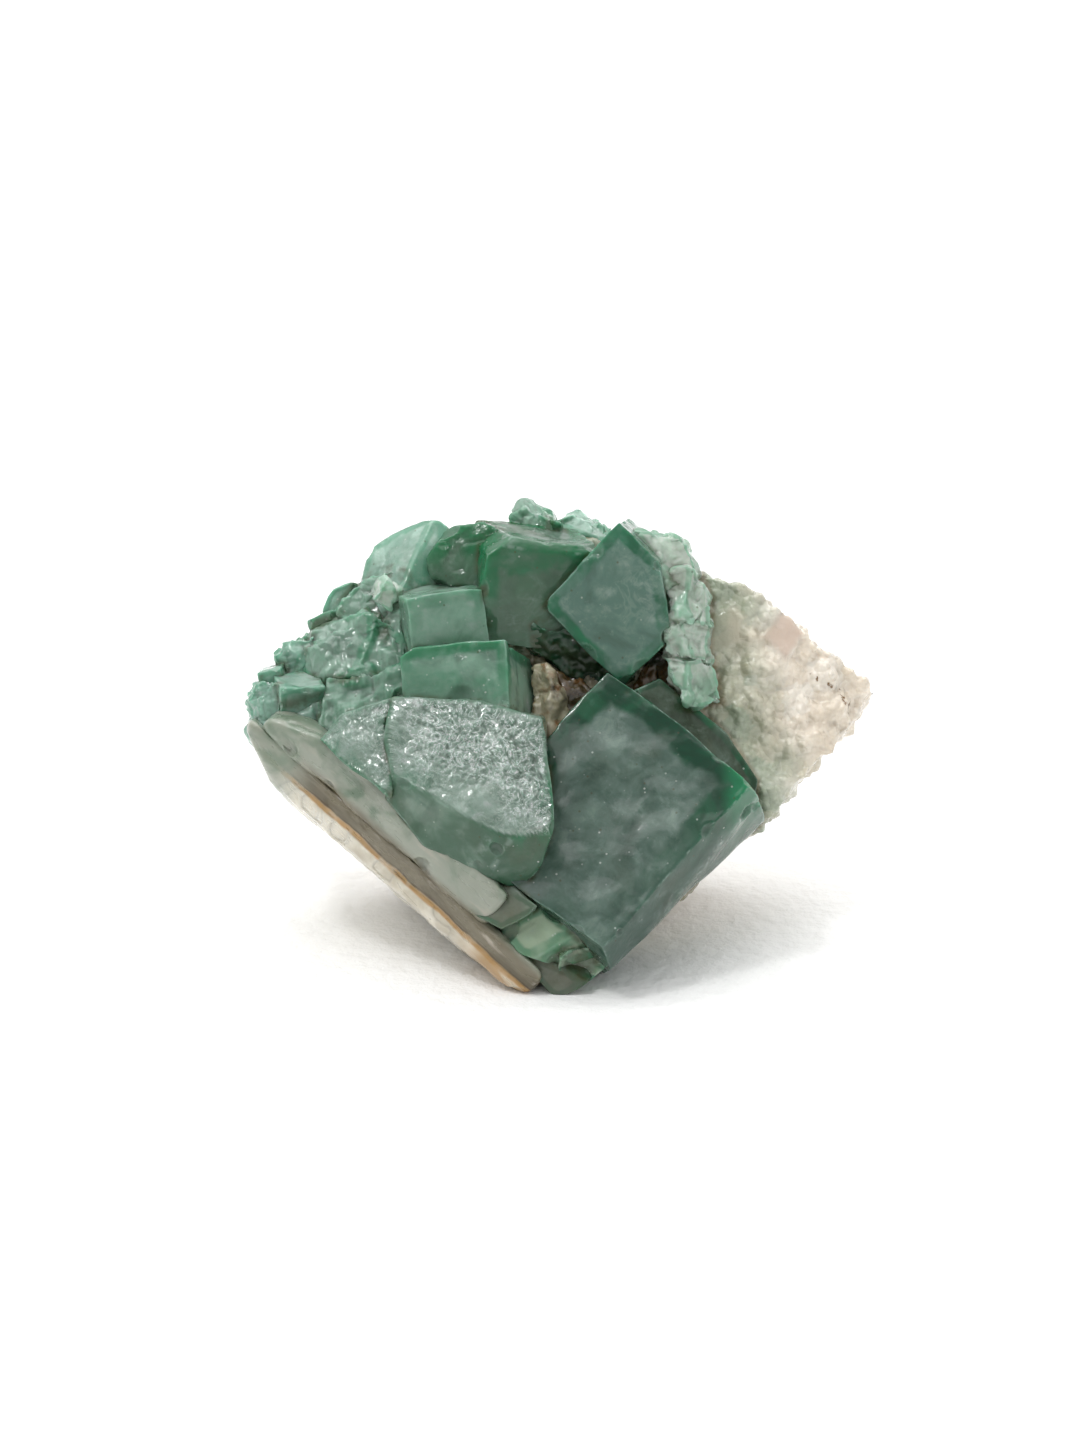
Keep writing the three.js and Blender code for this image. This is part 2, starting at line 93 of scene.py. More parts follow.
def smoothstep(low: float, high: float, value: Array) -> Array:
    """The S-shaped ramp 3t^2 - 2t^3 of t, where t runs from 0 at low to 1 at high."""
    t = np.clip((value - low) / (high - low), 0.0, 1.0)
    return t * t * (3.0 - 2.0 * t)


def cell_random(cells: Array, seed: int) -> Array:
    """A number from 0 to 1 for each whole-number cell, the same each run.

    Args:
        cells: whole numbers, shape (..., 3).
        seed: picks another set of numbers.

    Returns:
        The numbers, shape (...).
    """
    x, y, z = (cells[..., i].astype(np.int64) for i in range(3))
    mixed = (x * 374761393 + y * 668265263 + z * 1440662683 + seed * 974634777) & 0xFFFFFFFF
    mixed = ((mixed ^ (mixed >> 13)) * 1274126177) & 0xFFFFFFFF
    mixed = ((mixed ^ (mixed >> 16)) * 2246822519) & 0xFFFFFFFF
    return ((mixed ^ (mixed >> 15)) & 0xFFFFFF) / float(0xFFFFFF)


def value_noise(points: Array, size: float, seed: int) -> Array:
    """Smooth noise from -1 to 1: random values at the corners of cubes of that size, blended inside them."""
    scaled = points / size
    base = np.floor(scaled)
    t = scaled - base
    t = t * t * t * (t * (t * 6.0 - 15.0) + 10.0)
    total = np.zeros(len(points))
    for corner in np.ndindex(2, 2, 2):
        weight = np.prod(np.where(np.array(corner) == 1, t, 1.0 - t), axis=1)
        total += weight * cell_random(base + np.array(corner), seed)
    return total * 2.0 - 1.0


def layered_noise(points: Array, size: float, seed: int, layers: int = 4, fade: float = 0.5) -> Array:
    """Value noise at a size, half that size and so on, each layer weaker by the fade; about -1 to 1."""
    total = np.zeros(len(points))
    reach = 0.0
    for layer in range(layers):
        weight = fade**layer
        total += weight * value_noise(points, size / 2.0**layer, seed + 17 * layer)
        reach += weight
    return total / reach * 1.6


def turns(count: int, seed: int, most: float = math.pi) -> Array:
    """Rotation matrices about random axes, by up to the given angle; shape (count, 3, 3)."""
    rng = np.random.default_rng(seed)
    axis = rng.normal(size=(count, 3))
    axis /= np.linalg.norm(axis, axis=1, keepdims=True)
    angle = rng.uniform(-most, most, count)[:, None, None]
    x, y, z = axis.T
    zero = np.zeros(count)
    cross = np.stack([zero, -z, y, z, zero, -x, -y, x, zero], axis=1).reshape(-1, 3, 3)
    return np.eye(3) + np.sin(angle) * cross + (1.0 - np.cos(angle)) * cross @ cross


def crystal_crust(points: Array, size: float, seed: int, tilt: float, point: float) -> tuple[Array, Array]:
    """The height of a crust of small crystals over each point, and a random shade for each crystal.

    A crystal sits in every cell of a lattice, off its middle and turned at random. Its height over a point is
    its own height minus the point's distance from its middle, where distance is the largest of the turned
    coordinates, which makes cubes, blended with their sum, which makes points. The highest crystal wins.

    Args:
        points: surface points, shape (n, 3).
        size: the lattice's cell, which is about one crystal's width.
        seed: picks another crust.
        tilt: the most that a crystal is turned, in radians.
        point: 0 for cubes, 1 for pointed crystals.

    Returns:
        Heights of about 0 to 1 and shades from 0 to 1.
    """
    variants = turns(CRUST_TURNS, seed, tilt)
    scaled = points / size
    base = np.floor(scaled)
    best = np.full(len(points), -FAR)
    shade = np.zeros(len(points))
    for offset in np.ndindex(3, 3, 3):
        cell = base + np.array(offset) - 1.0
        jitter = np.stack([cell_random(cell, seed + k) for k in range(3)], axis=1)
        share = cell_random(cell, seed + 3)
        turned = variants[(share * (CRUST_TURNS - 0.01)).astype(int)]
        arm = np.abs(np.einsum("nij,nj->ni", turned, scaled - cell - jitter))
        reach = arm.max(axis=1) * (1.0 - point) + arm.sum(axis=1) * 0.62 * point
        height = 0.75 + 0.5 * share - reach * (1.1 + 0.5 * jitter[:, 0])
        wins = height > best
        best = np.where(wins, height, best)
        shade = np.where(wins, jitter[:, 1], shade)
    return best, shade


# ---- Facets and the surfaces that they shut in ---------------------------------------------------


def hull_of(nodes: Iterable[str]) -> bmesh.types.BMesh:
    """The convex hull of the corners of some CAD nodes, as a new mesh to be freed after use."""
    shell = bmesh.new()
    for node in nodes:
        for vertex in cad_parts[node].data.vertices:
            shell.verts.new(vertex.co)
    bmesh.ops.remove_doubles(shell, verts=shell.verts, dist=0.01 * MM)
    hull = bmesh.ops.convex_hull(shell, input=shell.verts)
    bmesh.ops.delete(shell, geom=hull["geom_interior"], context="VERTS")
    bmesh.ops.recalc_face_normals(shell, faces=shell.faces)
    return shell


@dataclass
class Facets:
    """The flat faces of a convex body: outward normals, distances from its middle, and areas; and its axes."""

    normals: Array
    distances: Array
    areas: Array
    middle: Array
    axes: Array
    half: Array

    @classmethod
    def of_nodes(cls, *nodes: str, grow: float = 0.15) -> "Facets":
        """The facets of the convex hull of some CAD nodes.

        Args:
            nodes: the CAD nodes' names.
            grow: how far each facet is moved outwards, which closes the gaps that CAD solids keep.

        Returns:
            The facets, with nearly parallel ones merged.
        """
        shell = hull_of(nodes)
        triangles = np.array([[v.co[:] for v in face.verts[:3]] for face in shell.faces]) / MM
        shell.free()
        cross = np.cross(triangles[:, 1] - triangles[:, 0], triangles[:, 2] - triangles[:, 0])
        area = np.linalg.norm(cross, axis=1) / 2.0
        whole = area > SLIVER
        corners, area = triangles.reshape(-1, 3), area[whole]
        normal = cross[whole] / (area[:, None] * 2.0)
        from_middle = triangles[whole][:, 0] - corners.mean(axis=0)
        normal *= np.sign(np.einsum("ij,ij->i", normal, from_middle))[:, None]
        normals, areas = cls._merged(normal, area)
        offsets = (corners @ normals.T).max(axis=0)
        axes = cls._principal(normals, areas)
        reach = corners @ axes.T
        low, high = reach.min(axis=0) - grow, reach.max(axis=0) + grow
        middle = ((low + high) / 2.0) @ axes
        distances = offsets + grow - normals @ middle
        return cls(normals, distances, areas, middle, axes, (high - low) / 2.0)

    @staticmethod
    def _merged(normal: Array, area: Array) -> tuple[Array, Array]:
        """One normal, the largest face's, for each group of faces that lie in one facet."""
        left = np.argsort(-area)
        normals, areas = [], []
        while len(left):
            same = normal[left] @ normal[left[0]] > math.cos(math.radians(SAME_FACET_DEG))
            normals.append(normal[left[0]])
            areas.append(area[left[same]].sum())
            left = left[~same]
        return np.array(normals), np.array(areas)

    @staticmethod
    def _principal(normals: Array, areas: Array) -> Array:
        """Three axes: the largest facet's normal, the largest one about square to it, and their cross."""
        first = normals[np.argmax(areas)]
        across = np.abs(normals @ first) < SQUARE
        if across.any():
            second = normals[across][np.argmax(areas[across])]
        else:
            second = np.cross(first, [0.3, 0.5, 0.8])
        second = second - first * (second @ first)
        second /= np.linalg.norm(second)
        return np.stack([first, second, np.cross(first, second)])

    def depths(self, points: Array) -> Array:
        """How far each point lies outside each facet's plane; below 0 is inside. Shape (points, facets)."""
        return (points - self.middle) @ self.normals.T - self.distances


@dataclass
class Skin:
    """A closed surface: points, quads, outward directions, and values for each point by attribute name."""

    points: Array
    quads: Array
    outward: Array
    values: dict[str, Array] = field(default_factory=dict)


def box_grid(counts: tuple[int, int, int], crowd: float) -> tuple[Array, Array]:
    """The surface of the cube from -1 to 1, as one closed grid.

    Each side is the map of two parameters to (u, v, +-1), where u and v are eased so that rows crowd towards
    the edges: s becomes s + crowd * (s - s^3) / 2.

    Args:
        counts: quads along each axis.
        crowd: 0 for even rows, towards 1 for crowded edges.

    Returns:
        Points and quads, with shared edges merged and every quad facing out.
    """
    sides, quads, start = [], [], 0
    for axis in range(3):
        first, second = (axis + 1) % 3, (axis + 2) % 3
        u, v = (np.linspace(-1.0, 1.0, counts[k] + 1) for k in (first, second))
        u, v = (s + crowd * (s - s**3) / 2.0 for s in (u, v))
        for sign in (-1.0, 1.0):
            side = np.empty((len(u), len(v), 3))
            side[..., axis] = sign
            side[..., first], side[..., second] = u[:, None], v[None, :]
            index = start + np.arange(len(u) * len(v)).reshape(len(u), len(v))
            ring = [index[:-1, :-1], index[1:, :-1], index[1:, 1:], index[:-1, 1:]]
            ring = ring if sign > 0 else ring[::-1]
            sides.append(side.reshape(-1, 3))
            quads.append(np.stack(ring, axis=-1).reshape(-1, 4))
            start += len(u) * len(v)
    points = np.concatenate(sides)
    _, first_of, merged = np.unique(np.round(points, 6), axis=0, return_index=True, return_inverse=True)
    return points[first_of], merged.reshape(-1)[np.concatenate(quads)]


@dataclass(frozen=True)
class Chips:
    """Small shell-shaped breaks along a crystal's edges: how many, and their least and most width."""

    count: int = 10
    least: float = 0.6
    most: float = 2.2
    depth: float = 0.22  # share of the width
    scatter: float = 0.35  # how far the breaks turn away from straight out


@dataclass
class FacetedBody:
    """A convex body with rounded, chipped edges.

    Args:
        facets: its flat faces.
        spacing: the grid's spacing in millimetres.
        rounding: how soft its edges are, in millimetres.
        chips: the breaks along its edges.
        seed: picks where the chips are.
        crowd: how far the grid's rows crowd towards the edges.
        warp: how far slow waves bend the body, in millimetres.
    """

    facets: Facets
    spacing: float = 0.3
    rounding: float = 0.07
    chips: Chips = Chips()
    seed: int = 1
    crowd: float = 0.7
    warp: float = 0.3

    def skin(self) -> Skin:
        """The surface, with values for each point.

        Returns:
            The skin, with `edge`, the distance in millimetres from a facet's nearest edge, `tone`, a number
            for each facet, `chip`, which is 1 in a chip, and `up`, from 0 at the bottom to 1 at the top.
        """
        counts = np.maximum(6, np.round(2.0 * self.facets.half / self.spacing)).astype(int)
        unit, quads = box_grid(tuple(int(n) for n in counts), self.crowd)
        rays = (unit * self.facets.half) @ self.facets.axes
        plain = self._slide(rays, self._facet_field)
        waves = [layered_noise(plain, BROAD, self.seed + 40 + axis, 2) for axis in range(3)]
        shift = np.stack(waves, axis=1) * self.warp
        balls, radii = self._balls(plain)
        points = self._slide(rays, lambda p: self._chipped_field(p + shift, balls, radii))
        depths = self.facets.depths(points + shift)
        ranked = np.sort(depths, axis=1)
        weight = np.exp((depths - ranked[:, -1:]) / 0.25)
        outward = weight @ self.facets.normals
        outward /= np.linalg.norm(outward, axis=1, keepdims=True)
        facing = np.argmax(depths, axis=1)
        tone = np.random.default_rng(self.seed).uniform(0.0, 1.0, len(self.facets.normals))
        chipped = self._ball_field(points + shift, balls, radii)
        level = points[:, 2]
        return Skin(
            points,
            quads,
            outward,
            {
                "edge": np.clip(-ranked[:, -2], 0.0, None),
                "tone": tone[facing],
                "chip": smoothstep(-0.12, -0.01, chipped),
                "up": (level - level.min()) / (level.max() - level.min()),
            },
        )

    def _slide(self, rays: Array, outside: Callable[[Array], Array]) -> Array:
        """Halves each ray again and again to where the field turns from below 0, inside, to above 0."""
        low, high = np.full(len(rays), 0.05), np.full(len(rays), 1.05)
        for _ in range(HALVINGS):
            half = (low + high) / 2.0
            out = outside(self.facets.middle + rays * half[:, None]) > 0.0
            high, low = np.where(out, half, high), np.where(out, low, half)
        return self.facets.middle + rays * ((low + high) / 2.0)[:, None]

    def _facet_field(self, points: Array) -> Array:
        """The smooth maximum of the depths outside the facets: the log of their exponentials' sum."""
        depths = self.facets.depths(points)
        most = depths.max(axis=1)
        return most + self.rounding * np.log(np.exp((depths - most[:, None]) / self.rounding).sum(axis=1))

    def _ball_field(self, points: Array, balls: Array, radii: Array) -> Array:
        """How far each point is inside the nearest ball that bites into the body."""
        if not len(balls):
            return np.full(len(points), -FAR)
        reach = np.linalg.norm(points[:, None, :] - balls[None, :, :], axis=2)
        return (radii[None, :] - reach).max(axis=1)

    def _chipped_field(self, points: Array, balls: Array, radii: Array) -> Array:
        """The body without its chips: outside where it is outside the facets or inside a ball."""
        return np.maximum(self._facet_field(points), self._ball_field(points, balls, radii))

    def _balls(self, points: Array) -> tuple[Array, Array]:
        """Balls that bite a little way into random places on the edges."""
        rng = np.random.default_rng(self.seed)
        ranked = np.sort(self.facets.depths(points), axis=1)
        edges = np.flatnonzero(ranked[:, -2] > -0.3)
        if not self.chips.count or not len(edges):
            return np.zeros((0, 3)), np.zeros(0)
        at = points[rng.choice(edges, self.chips.count)]
        width = rng.uniform(self.chips.least, self.chips.most, self.chips.count)
        away = at - self.facets.middle
        far = np.linalg.norm(away, axis=1, keepdims=True)
        away += rng.normal(size=away.shape) * far * self.chips.scatter
        away /= np.linalg.norm(away, axis=1, keepdims=True)
        radii = width * 1.1
        return at + away * (radii - width * self.chips.depth)[:, None], radii


def remeshed(node: str, voxel: float) -> Skin:
    """The convex hull of a CAD node as an even skin, from a voxel remesh that is baked into the mesh.

    Args:
        node: the CAD node's name.
        voxel: the skin's spacing in millimetres.

    Returns:
        The skin, in quads.
    """
    shell = hull_of([node])
    rough = bpy.data.meshes.new("hull")
    shell.to_mesh(rough)
    shell.free()
    thing = bpy.data.objects.new("hull", rough)
    bpy.context.scene.collection.objects.link(thing)
    remesh = thing.modifiers.new("even", "REMESH")
    remesh.mode, remesh.voxel_size = "VOXEL", voxel * MM
    even = thing.evaluated_get(bpy.context.evaluated_depsgraph_get()).to_mesh()
    points = np.empty(len(even.vertices) * 3)
    even.vertices.foreach_get("co", points)
    outward = np.array([normal.vector[:] for normal in even.vertex_normals])
    quads = np.array([polygon.vertices[:] for polygon in even.polygons if len(polygon.vertices) == 4])
    bpy.data.objects.remove(thing)
    return Skin(points.reshape(-1, 3) / MM, quads, outward)


def make_object(name: str, skin: Skin) -> bpy.types.Object:
    """Writes a skin into a mesh object at the origin, none of it below the floor.

    Args:
        name: the object's name.
        skin: the surface, whose values become float attributes.

    Returns:
        The object, linked to the scene.
    """
    skin.points[:, 2] = np.maximum(skin.points[:, 2], 0.0)
    mesh = bpy.data.meshes.new(name)
    mesh.vertices.add(len(skin.points))
    mesh.vertices.foreach_set("co", (skin.points * MM).astype(np.float32).ravel())
    mesh.loops.add(skin.quads.size)
    mesh.loops.foreach_set("vertex_index", skin.quads.astype(np.int32).ravel())
    mesh.polygons.add(len(skin.quads))
    mesh.polygons.foreach_set("loop_start", np.arange(0, skin.quads.size, 4, dtype=np.int32))
    mesh.polygons.foreach_set("use_smooth", np.ones(len(skin.quads), dtype=bool))
    mesh.update(calc_edges=True)
    for key, value in skin.values.items():
        mesh.attributes.new(key, "FLOAT", "POINT").data.foreach_set("value", value.astype(np.float32))
    thing = bpy.data.objects.new(name, mesh)
    bpy.context.scene.collection.objects.link(thing)
    return thing


# ---- Shader maths --------------------------------------------------------------------------------


class Value:
    """A number that varies over a surface. Sums and products of Values add Math nodes."""

    def __init__(self, graph: "Graph", socket: bpy.types.NodeSocket) -> None:
        """Wraps one output socket."""
        self.graph = graph
        self.socket = socket

    def __add__(self, other: "Value | float") -> "Value":
        """self + other."""
        return self.graph.maths("ADD", self, other)

    __radd__ = __add__

    def __mul__(self, other: "Value | float") -> "Value":
        """self * other."""
        return self.graph.maths("MULTIPLY", self, other)

    __rmul__ = __mul__

    def __sub__(self, other: "Value | float") -> "Value":
        """self - other."""
        return self.graph.maths("SUBTRACT", self, other)

    def __rsub__(self, other: float) -> "Value":
        """other - self."""
        return self.graph.maths("SUBTRACT", other, self)

    def absolute(self) -> "Value":
        """The size of self without its sign."""
        return self.graph.maths("ABSOLUTE", self)

    def step(self, low: float, high: float) -> "Value":
        """The S-shaped ramp from 0 at low to 1 at high, or falling where low is above high."""
        rising = low < high
        node = self.graph.node(
            "ShaderNodeMapRange",
            {"interpolation_type": "SMOOTHSTEP"},
            {
                "Value": self,
                "From Min": min(low, high),
                "From Max": max(low, high),
                "To Min": 0.0 if rising else 1.0,
                "To Max": 1.0 if rising else 0.0,
            },
        )
        return Value(self.graph, node.outputs["Result"])


class Graph:
    """One material's nodes."""

    def __init__(self, name: str) -> None:
        """Starts an empty material."""
        self.material = bpy.data.materials.new(name)
        self.material.use_nodes = True
        self.tree = self.material.node_tree
        self.tree.nodes.clear()
        output = self.node("ShaderNodeTexCoord", {}, {}).outputs["Object"]
        self.place = self.scaled(output, 1.0 / MM)  # Object coordinates in millimetres

    def node(self, kind: str, settings: dict, inputs: dict) -> bpy.types.Node:
        """Adds a node, with its settings first and then its inputs, by name or index.

        Args:
            kind: the node's type.
            settings: property names and values.
            inputs: socket names or indices, each with a number, a tuple, a socket or a Value.

        Returns:
            The node.
        """
        made = self.tree.nodes.new(kind)
        for key, value in settings.items():
            setattr(made, key, value)
        for key, value in inputs.items():
            if isinstance(value, Value):
                self.tree.links.new(value.socket, made.inputs[key])
            elif isinstance(value, bpy.types.NodeSocket):
                self.tree.links.new(value, made.inputs[key])
            else:
                made.inputs[key].default_value = value
        return made

    def maths(self, operation: str, *terms: "Value | float") -> Value:
        """One Math node on Values or numbers."""
        inputs = dict(enumerate(terms))
        return Value(self, self.node("ShaderNodeMath", {"operation": operation}, inputs).outputs[0])

    def scaled(self, vector: bpy.types.NodeSocket, by: float) -> bpy.types.NodeSocket:
        """A vector times a number."""
        node = self.node("ShaderNodeVectorMath", {"operation": "SCALE"}, {0: vector, "Scale": by})
        return node.outputs[0]

    def squeezed(self, direction: Iterable[float], by: float) -> bpy.types.NodeSocket:
        """The place with its part along a direction multiplied, so that noise on it streaks that way."""
        unit = Vector(tuple(direction)).normalized()
        inputs = {0: self.place, 1: tuple(unit)}
        along = self.node("ShaderNodeVectorMath", {"operation": "DOT_PRODUCT"}, inputs).outputs["Value"]
        shift = Value(self, along) * (by - 1.0)
        node = self.node("ShaderNodeVectorMath", {"operation": "SCALE"}, {0: tuple(unit), "Scale": shift})
        inputs = {0: self.place, 1: node.outputs[0]}
        return self.node("ShaderNodeVectorMath", {"operation": "ADD"}, inputs).outputs[0]

    def shifted(self, by: tuple[float, float, float]) -> bpy.types.NodeSocket:
        """The place moved by some millimetres, so that one pattern isn't laid over another."""
        return self.node("ShaderNodeVectorMath", {"operation": "ADD"}, {0: self.place, 1: by}).outputs[0]

    def attribute(self, name: str) -> Value:
        """One of the piece's own attributes."""
        node = self.node("ShaderNodeAttribute", {"attribute_type": "GEOMETRY", "attribute_name": name}, {})
        return Value(self, node.outputs["Fac"])

    def noise(self, size: float, detail: float = 3.0, warp: float = 0.0, at: float = 0.0,
              place: bpy.types.NodeSocket | None = None, rough: float = 0.55) -> Value:
        """Noise of about 0 to 1 whose largest lumps are of that size in millimetres."""
        inputs = {
            "Vector": self.place if place is None else place,
            "W": at,
            "Scale": 1.0 / size,
            "Detail": detail,
            "Roughness": rough,
            "Distortion": warp,
        }
        node = self.node("ShaderNodeTexNoise", {"noise_dimensions": "4D"}, inputs)
        return Value(self, node.outputs["Fac"])

    def cells(self, size: float, place: bpy.types.NodeSocket | None = None) -> Value:
        """The distance to the nearest middle of a cellular pattern of that size in millimetres."""
        inputs = {"Vector": self.place if place is None else place, "Scale": 1.0 / size}
        node = self.node("ShaderNodeTexVoronoi", {"feature": "F1"}, inputs)
        return Value(self, node.outputs["Distance"])

    def blend(self, base: "Colour | bpy.types.NodeSocket", over: "Colour | bpy.types.NodeSocket",
              share: "Value | float") -> bpy.types.NodeSocket:
        """A colour with another laid over it by a share from 0 to 1."""
        node = self.node("ShaderNodeMix", {"data_type": "RGBA", "clamp_factor": True}, {0: share})
        for index, colour in ((6, base), (7, over)):
            if isinstance(colour, bpy.types.NodeSocket):
                self.tree.links.new(colour, node.inputs[index])
            else:
                node.inputs[index].default_value = (*colour, 1.0)
        return node.outputs[2]

    def bump(self, height: Value, depth: float, strength: float = 1.0) -> bpy.types.NodeSocket:
        """A normal from a height of 0 to 1 that stands for a depth in millimetres."""
        inputs = {"Height": height, "Distance": depth * MM, "Strength": strength}
        return self.node("ShaderNodeBump", {}, inputs).outputs["Normal"]

    def finish(self, **inputs: object) -> bpy.types.Material:
        """Closes the material with a Principled shader; names use _ for a space, as in base_color."""
        titles = {key: key.replace("_", " ").title().replace("Ior", "IOR") for key in inputs}
        shader = self.node("ShaderNodeBsdfPrincipled", {}, {titles[k]: v for k, v in inputs.items()})
        self.node("ShaderNodeOutputMaterial", {}, {"Surface": shader.outputs[0]})
        return self.material


def tint(red: int, green: int, blue: int) -> Colour:
    """A colour given as it looks on a screen, 0 to 255, as the linear numbers that shaders use."""
    shares = (red / 255.0, green / 255.0, blue / 255.0)
    return tuple(s / 12.92 if s <= 0.04045 else ((s + 0.055) / 1.055) ** 2.4 for s in shares)


# ---- Finishes ------------------------------------------------------------------------------------


FLUORITE_IOR = 1.434
QUARTZ_IOR = 1.54
SPECK = tint(216, 224, 216)
FROST = tint(206, 208, 208)
# The colour of the painted glints on the broken faces.
PAINTED_GLINT = tint(236, 242, 241)


@dataclass(frozen=True)
class Fluorite:
    """Glassy green fluorite: a murky core, a rim of deep green, milky clouds and wisps, and brown stains.

    The rim follows the piece's own `edge` attribute, the distance in from a facet's edge, and is bright green,
    painted light shining through the thin edges, where `leaf` is 1. The stains follow `gap`, the distance to
    the next crystal, the frosted broken faces follow `broken`, and the painted glints on them, with painted
    dark between, follow `sparkle`.
    """

    name: str
    core: Colour
    rim: Colour
    dark: Colour = tint(52, 76, 62)
    light: Colour = tint(166, 188, 176)
    # bright green, painted light shining through the thin edges
    leaf: Colour = tint(38, 138, 94)
    stain: Colour = tint(84, 74, 40)
    rim_width: float = 2.4
    rim_share: float = 0.92
    rim_from: float = -0.2  # share of the crystal's height above which the rim is strong
    murk: float = 0.55  # how dark the dark patches are
    milk: float = 0.5  # how white the light ones are
    stained: float = 0.25
    rough: float = 0.16
    etch: float = 0.05  # half the depth of the etched surface, in millimetres
    rim_even: float = 0.3  # 1 where the rim is as strong all along
    backlit_share: float = 0.7  # how much of the rim gets bright green, painted light shining through the thin edges
    gloss: float = 0.1
    glow: float = 1.4  # how deep light spreads, in millimetres
    seed: float = 0.0

    def material(self) -> bpy.types.Material:
        """Builds the material. It reads the attributes edge, up, top, tone, chip, broken, sparkle and gap."""
        g = Graph(self.name)
        base = self._clouds(g)
        base = self._rim(g, base)
        base = self._marks(g, base)
        etched = g.noise(0.8, 5.0, 0.2, self.seed + 5.0)
        scratch = g.noise(2.6, 4.0, 0.2, self.seed + 6.0)
        glints = g.noise(1.1, 3.0, 2.2, self.seed + 14.0)
        broken, chip = g.attribute("broken"), g.attribute("chip")
        height = etched * (0.5 + broken * 0.6) + scratch * 0.3 + glints * broken * 0.9
        return g.finish(
            base_color=base,
            roughness=self.rough * (0.4 + scratch * 1.2) + chip * 0.1,
            normal=g.bump(height, self.etch * 2.0),
            ior=FLUORITE_IOR,
            subsurface_weight=0.9,
            subsurface_radius=(1.0, 1.35, 1.2),
            subsurface_scale=self.glow * MM,
            transmission_weight=0.42,
            specular_ior_level=0.34,
            coat_weight=self.gloss + broken * 0.7,
            coat_roughness=0.05,
        )

    def _clouds(self, g: Graph) -> bpy.types.NodeSocket:
        """The core: dark patches, milk in the light ones, thin pale wisps, and a painted sky reflection: pale
        patches on the faces that point up.
        """
        cloud = g.noise(6.0, 5.0, 0.9, self.seed)
        smoke = g.noise(2.6, 6.0, 0.7, self.seed + 3.0, rough=0.62)
        tone = g.attribute("tone")
        shadow = (cloud.step(0.52, 0.3) * 0.9 + 0.12 - tone * 0.24) * self.murk
        base = g.blend(self.core, self.dark, shadow)
        milk = smoke.step(0.46, 0.7) * cloud.step(0.4, 0.62) * self.milk
        base = g.blend(base, self.light, milk)
        fine = g.noise(0.9, 4.0, 0.3, self.seed + 7.0)
        base = g.blend(base, self.light, fine.step(0.58, 0.76) * 0.4 * self.milk)
        wisps = (g.noise(3.8, 6.0, 2.2, self.seed + 16.0) - 0.5).absolute().step(0.09, 0.0)
        base = g.blend(base, self.light, wisps * cloud.step(0.46, 0.62) * self.milk * 0.3)
        # Painted sky reflection: faces that point up are paled in patches, as if they mirrored the bright
        # light above.
        whitening = g.attribute("top") * g.noise(3.2, 5.0, 0.8, self.seed + 17.0).step(0.34, 0.66)
        return g.blend(base, self.light, whitening * 0.6)

    def _rim(self, g: Graph, base: bpy.types.NodeSocket) -> bpy.types.NodeSocket:
        """The deep green zone along the edges, with a wavering inner border, bright green patches of painted
        light shining through the thin edges, and a pale outer line that is part wear and part painted
        highlight.
        """
        wander = g.noise(4.0, 3.0, 0.3, self.seed + 11.0) - 0.5
        edge = g.attribute("edge")
        zone = edge + wander * self.rim_width * 1.3
        share = zone.step(self.rim_width * 1.1, self.rim_width * 0.7) * self.rim_share
        patches = g.noise(5.0, 3.0, 0.5, self.seed + 12.0).step(0.36, 0.54)
        high = g.attribute("up").step(self.rim_from - 0.15, self.rim_from + 0.2)
        share = share * (self.rim_even + patches * (1.0 - self.rim_even)) * (0.15 + high * 0.85)
        base = g.blend(base, self.rim, share)
        # Painted light: bright green where light shines through the thin edges, towards one corner and in
        # patches.
        base = g.blend(base, self.leaf, share * g.attribute("leaf"))
        backlit_patches = g.noise(6.5, 3.0, 0.4, self.seed + 15.0).step(0.5, 0.64)
        base = g.blend(base, self.leaf, share * backlit_patches * self.backlit_share)
        # A pale line along the very edge: partly worn edge, partly painted highlight.
        bright = edge.step(0.22, 0.04) * g.noise(1.4, 3.0, 0.0, self.seed + 13.0).step(0.46, 0.64)
        return g.blend(base, self.light, bright * 0.5)

    def _marks(self, g: Graph, base: bpy.types.NodeSocket) -> bpy.types.NodeSocket:
        """Pale and dark specks, frosted chips and broken faces, painted glints with painted dark between them
        on the broken faces, and stains in the joints.
        """
        specks = g.cells(1.2).step(0.14, 0.05) * g.noise(5.0, 2.0, 0.0, self.seed + 4.0).step(0.44, 0.58)
        base = g.blend(base, SPECK, specks * 0.7)
        dots = g.cells(1.9, g.shifted((3.1, 5.7, 1.3))).step(0.1, 0.04)
        base = g.blend(base, self.stain, dots * 0.5)
        whitening = g.noise(2.3, 6.0, 0.8, self.seed + 8.0, rough=0.6)
        broken = g.attribute("broken")
        cover = broken * (0.2 + whitening.step(0.36, 0.6) * 0.5) + g.attribute("chip") * 0.2
        base = g.blend(base, self.light, cover)
        base = g.blend(base, FROST, broken * whitening.step(0.56, 0.72) * 0.6)
        # Painted highlights on the rippled broken faces: thin curled glints, with painted dark between them.
        sparkle, swirls = g.attribute("sparkle"), g.noise(1.5, 3.0, 2.6, self.seed + 14.0)
        base = g.blend(base, self.dark, sparkle * swirls.step(0.5, 0.36) * 0.55)
        curls = (swirls - 0.56).absolute().step(0.035, 0.008)
        base = g.blend(base, PAINTED_GLINT, sparkle * curls * 0.9)
        near = g.attribute("gap").step(0.7, 0.0) * g.noise(2.2, 4.0, 0.4, self.seed + 9.0).step(0.4, 0.62)
        murk = g.noise(9.0, 3.0, 0.4, self.seed + 10.0).step(0.55, 0.75) * self.stained
        base = g.blend(base, self.stain, murk)
        return g.blend(base, self.stain, near * 0.6)


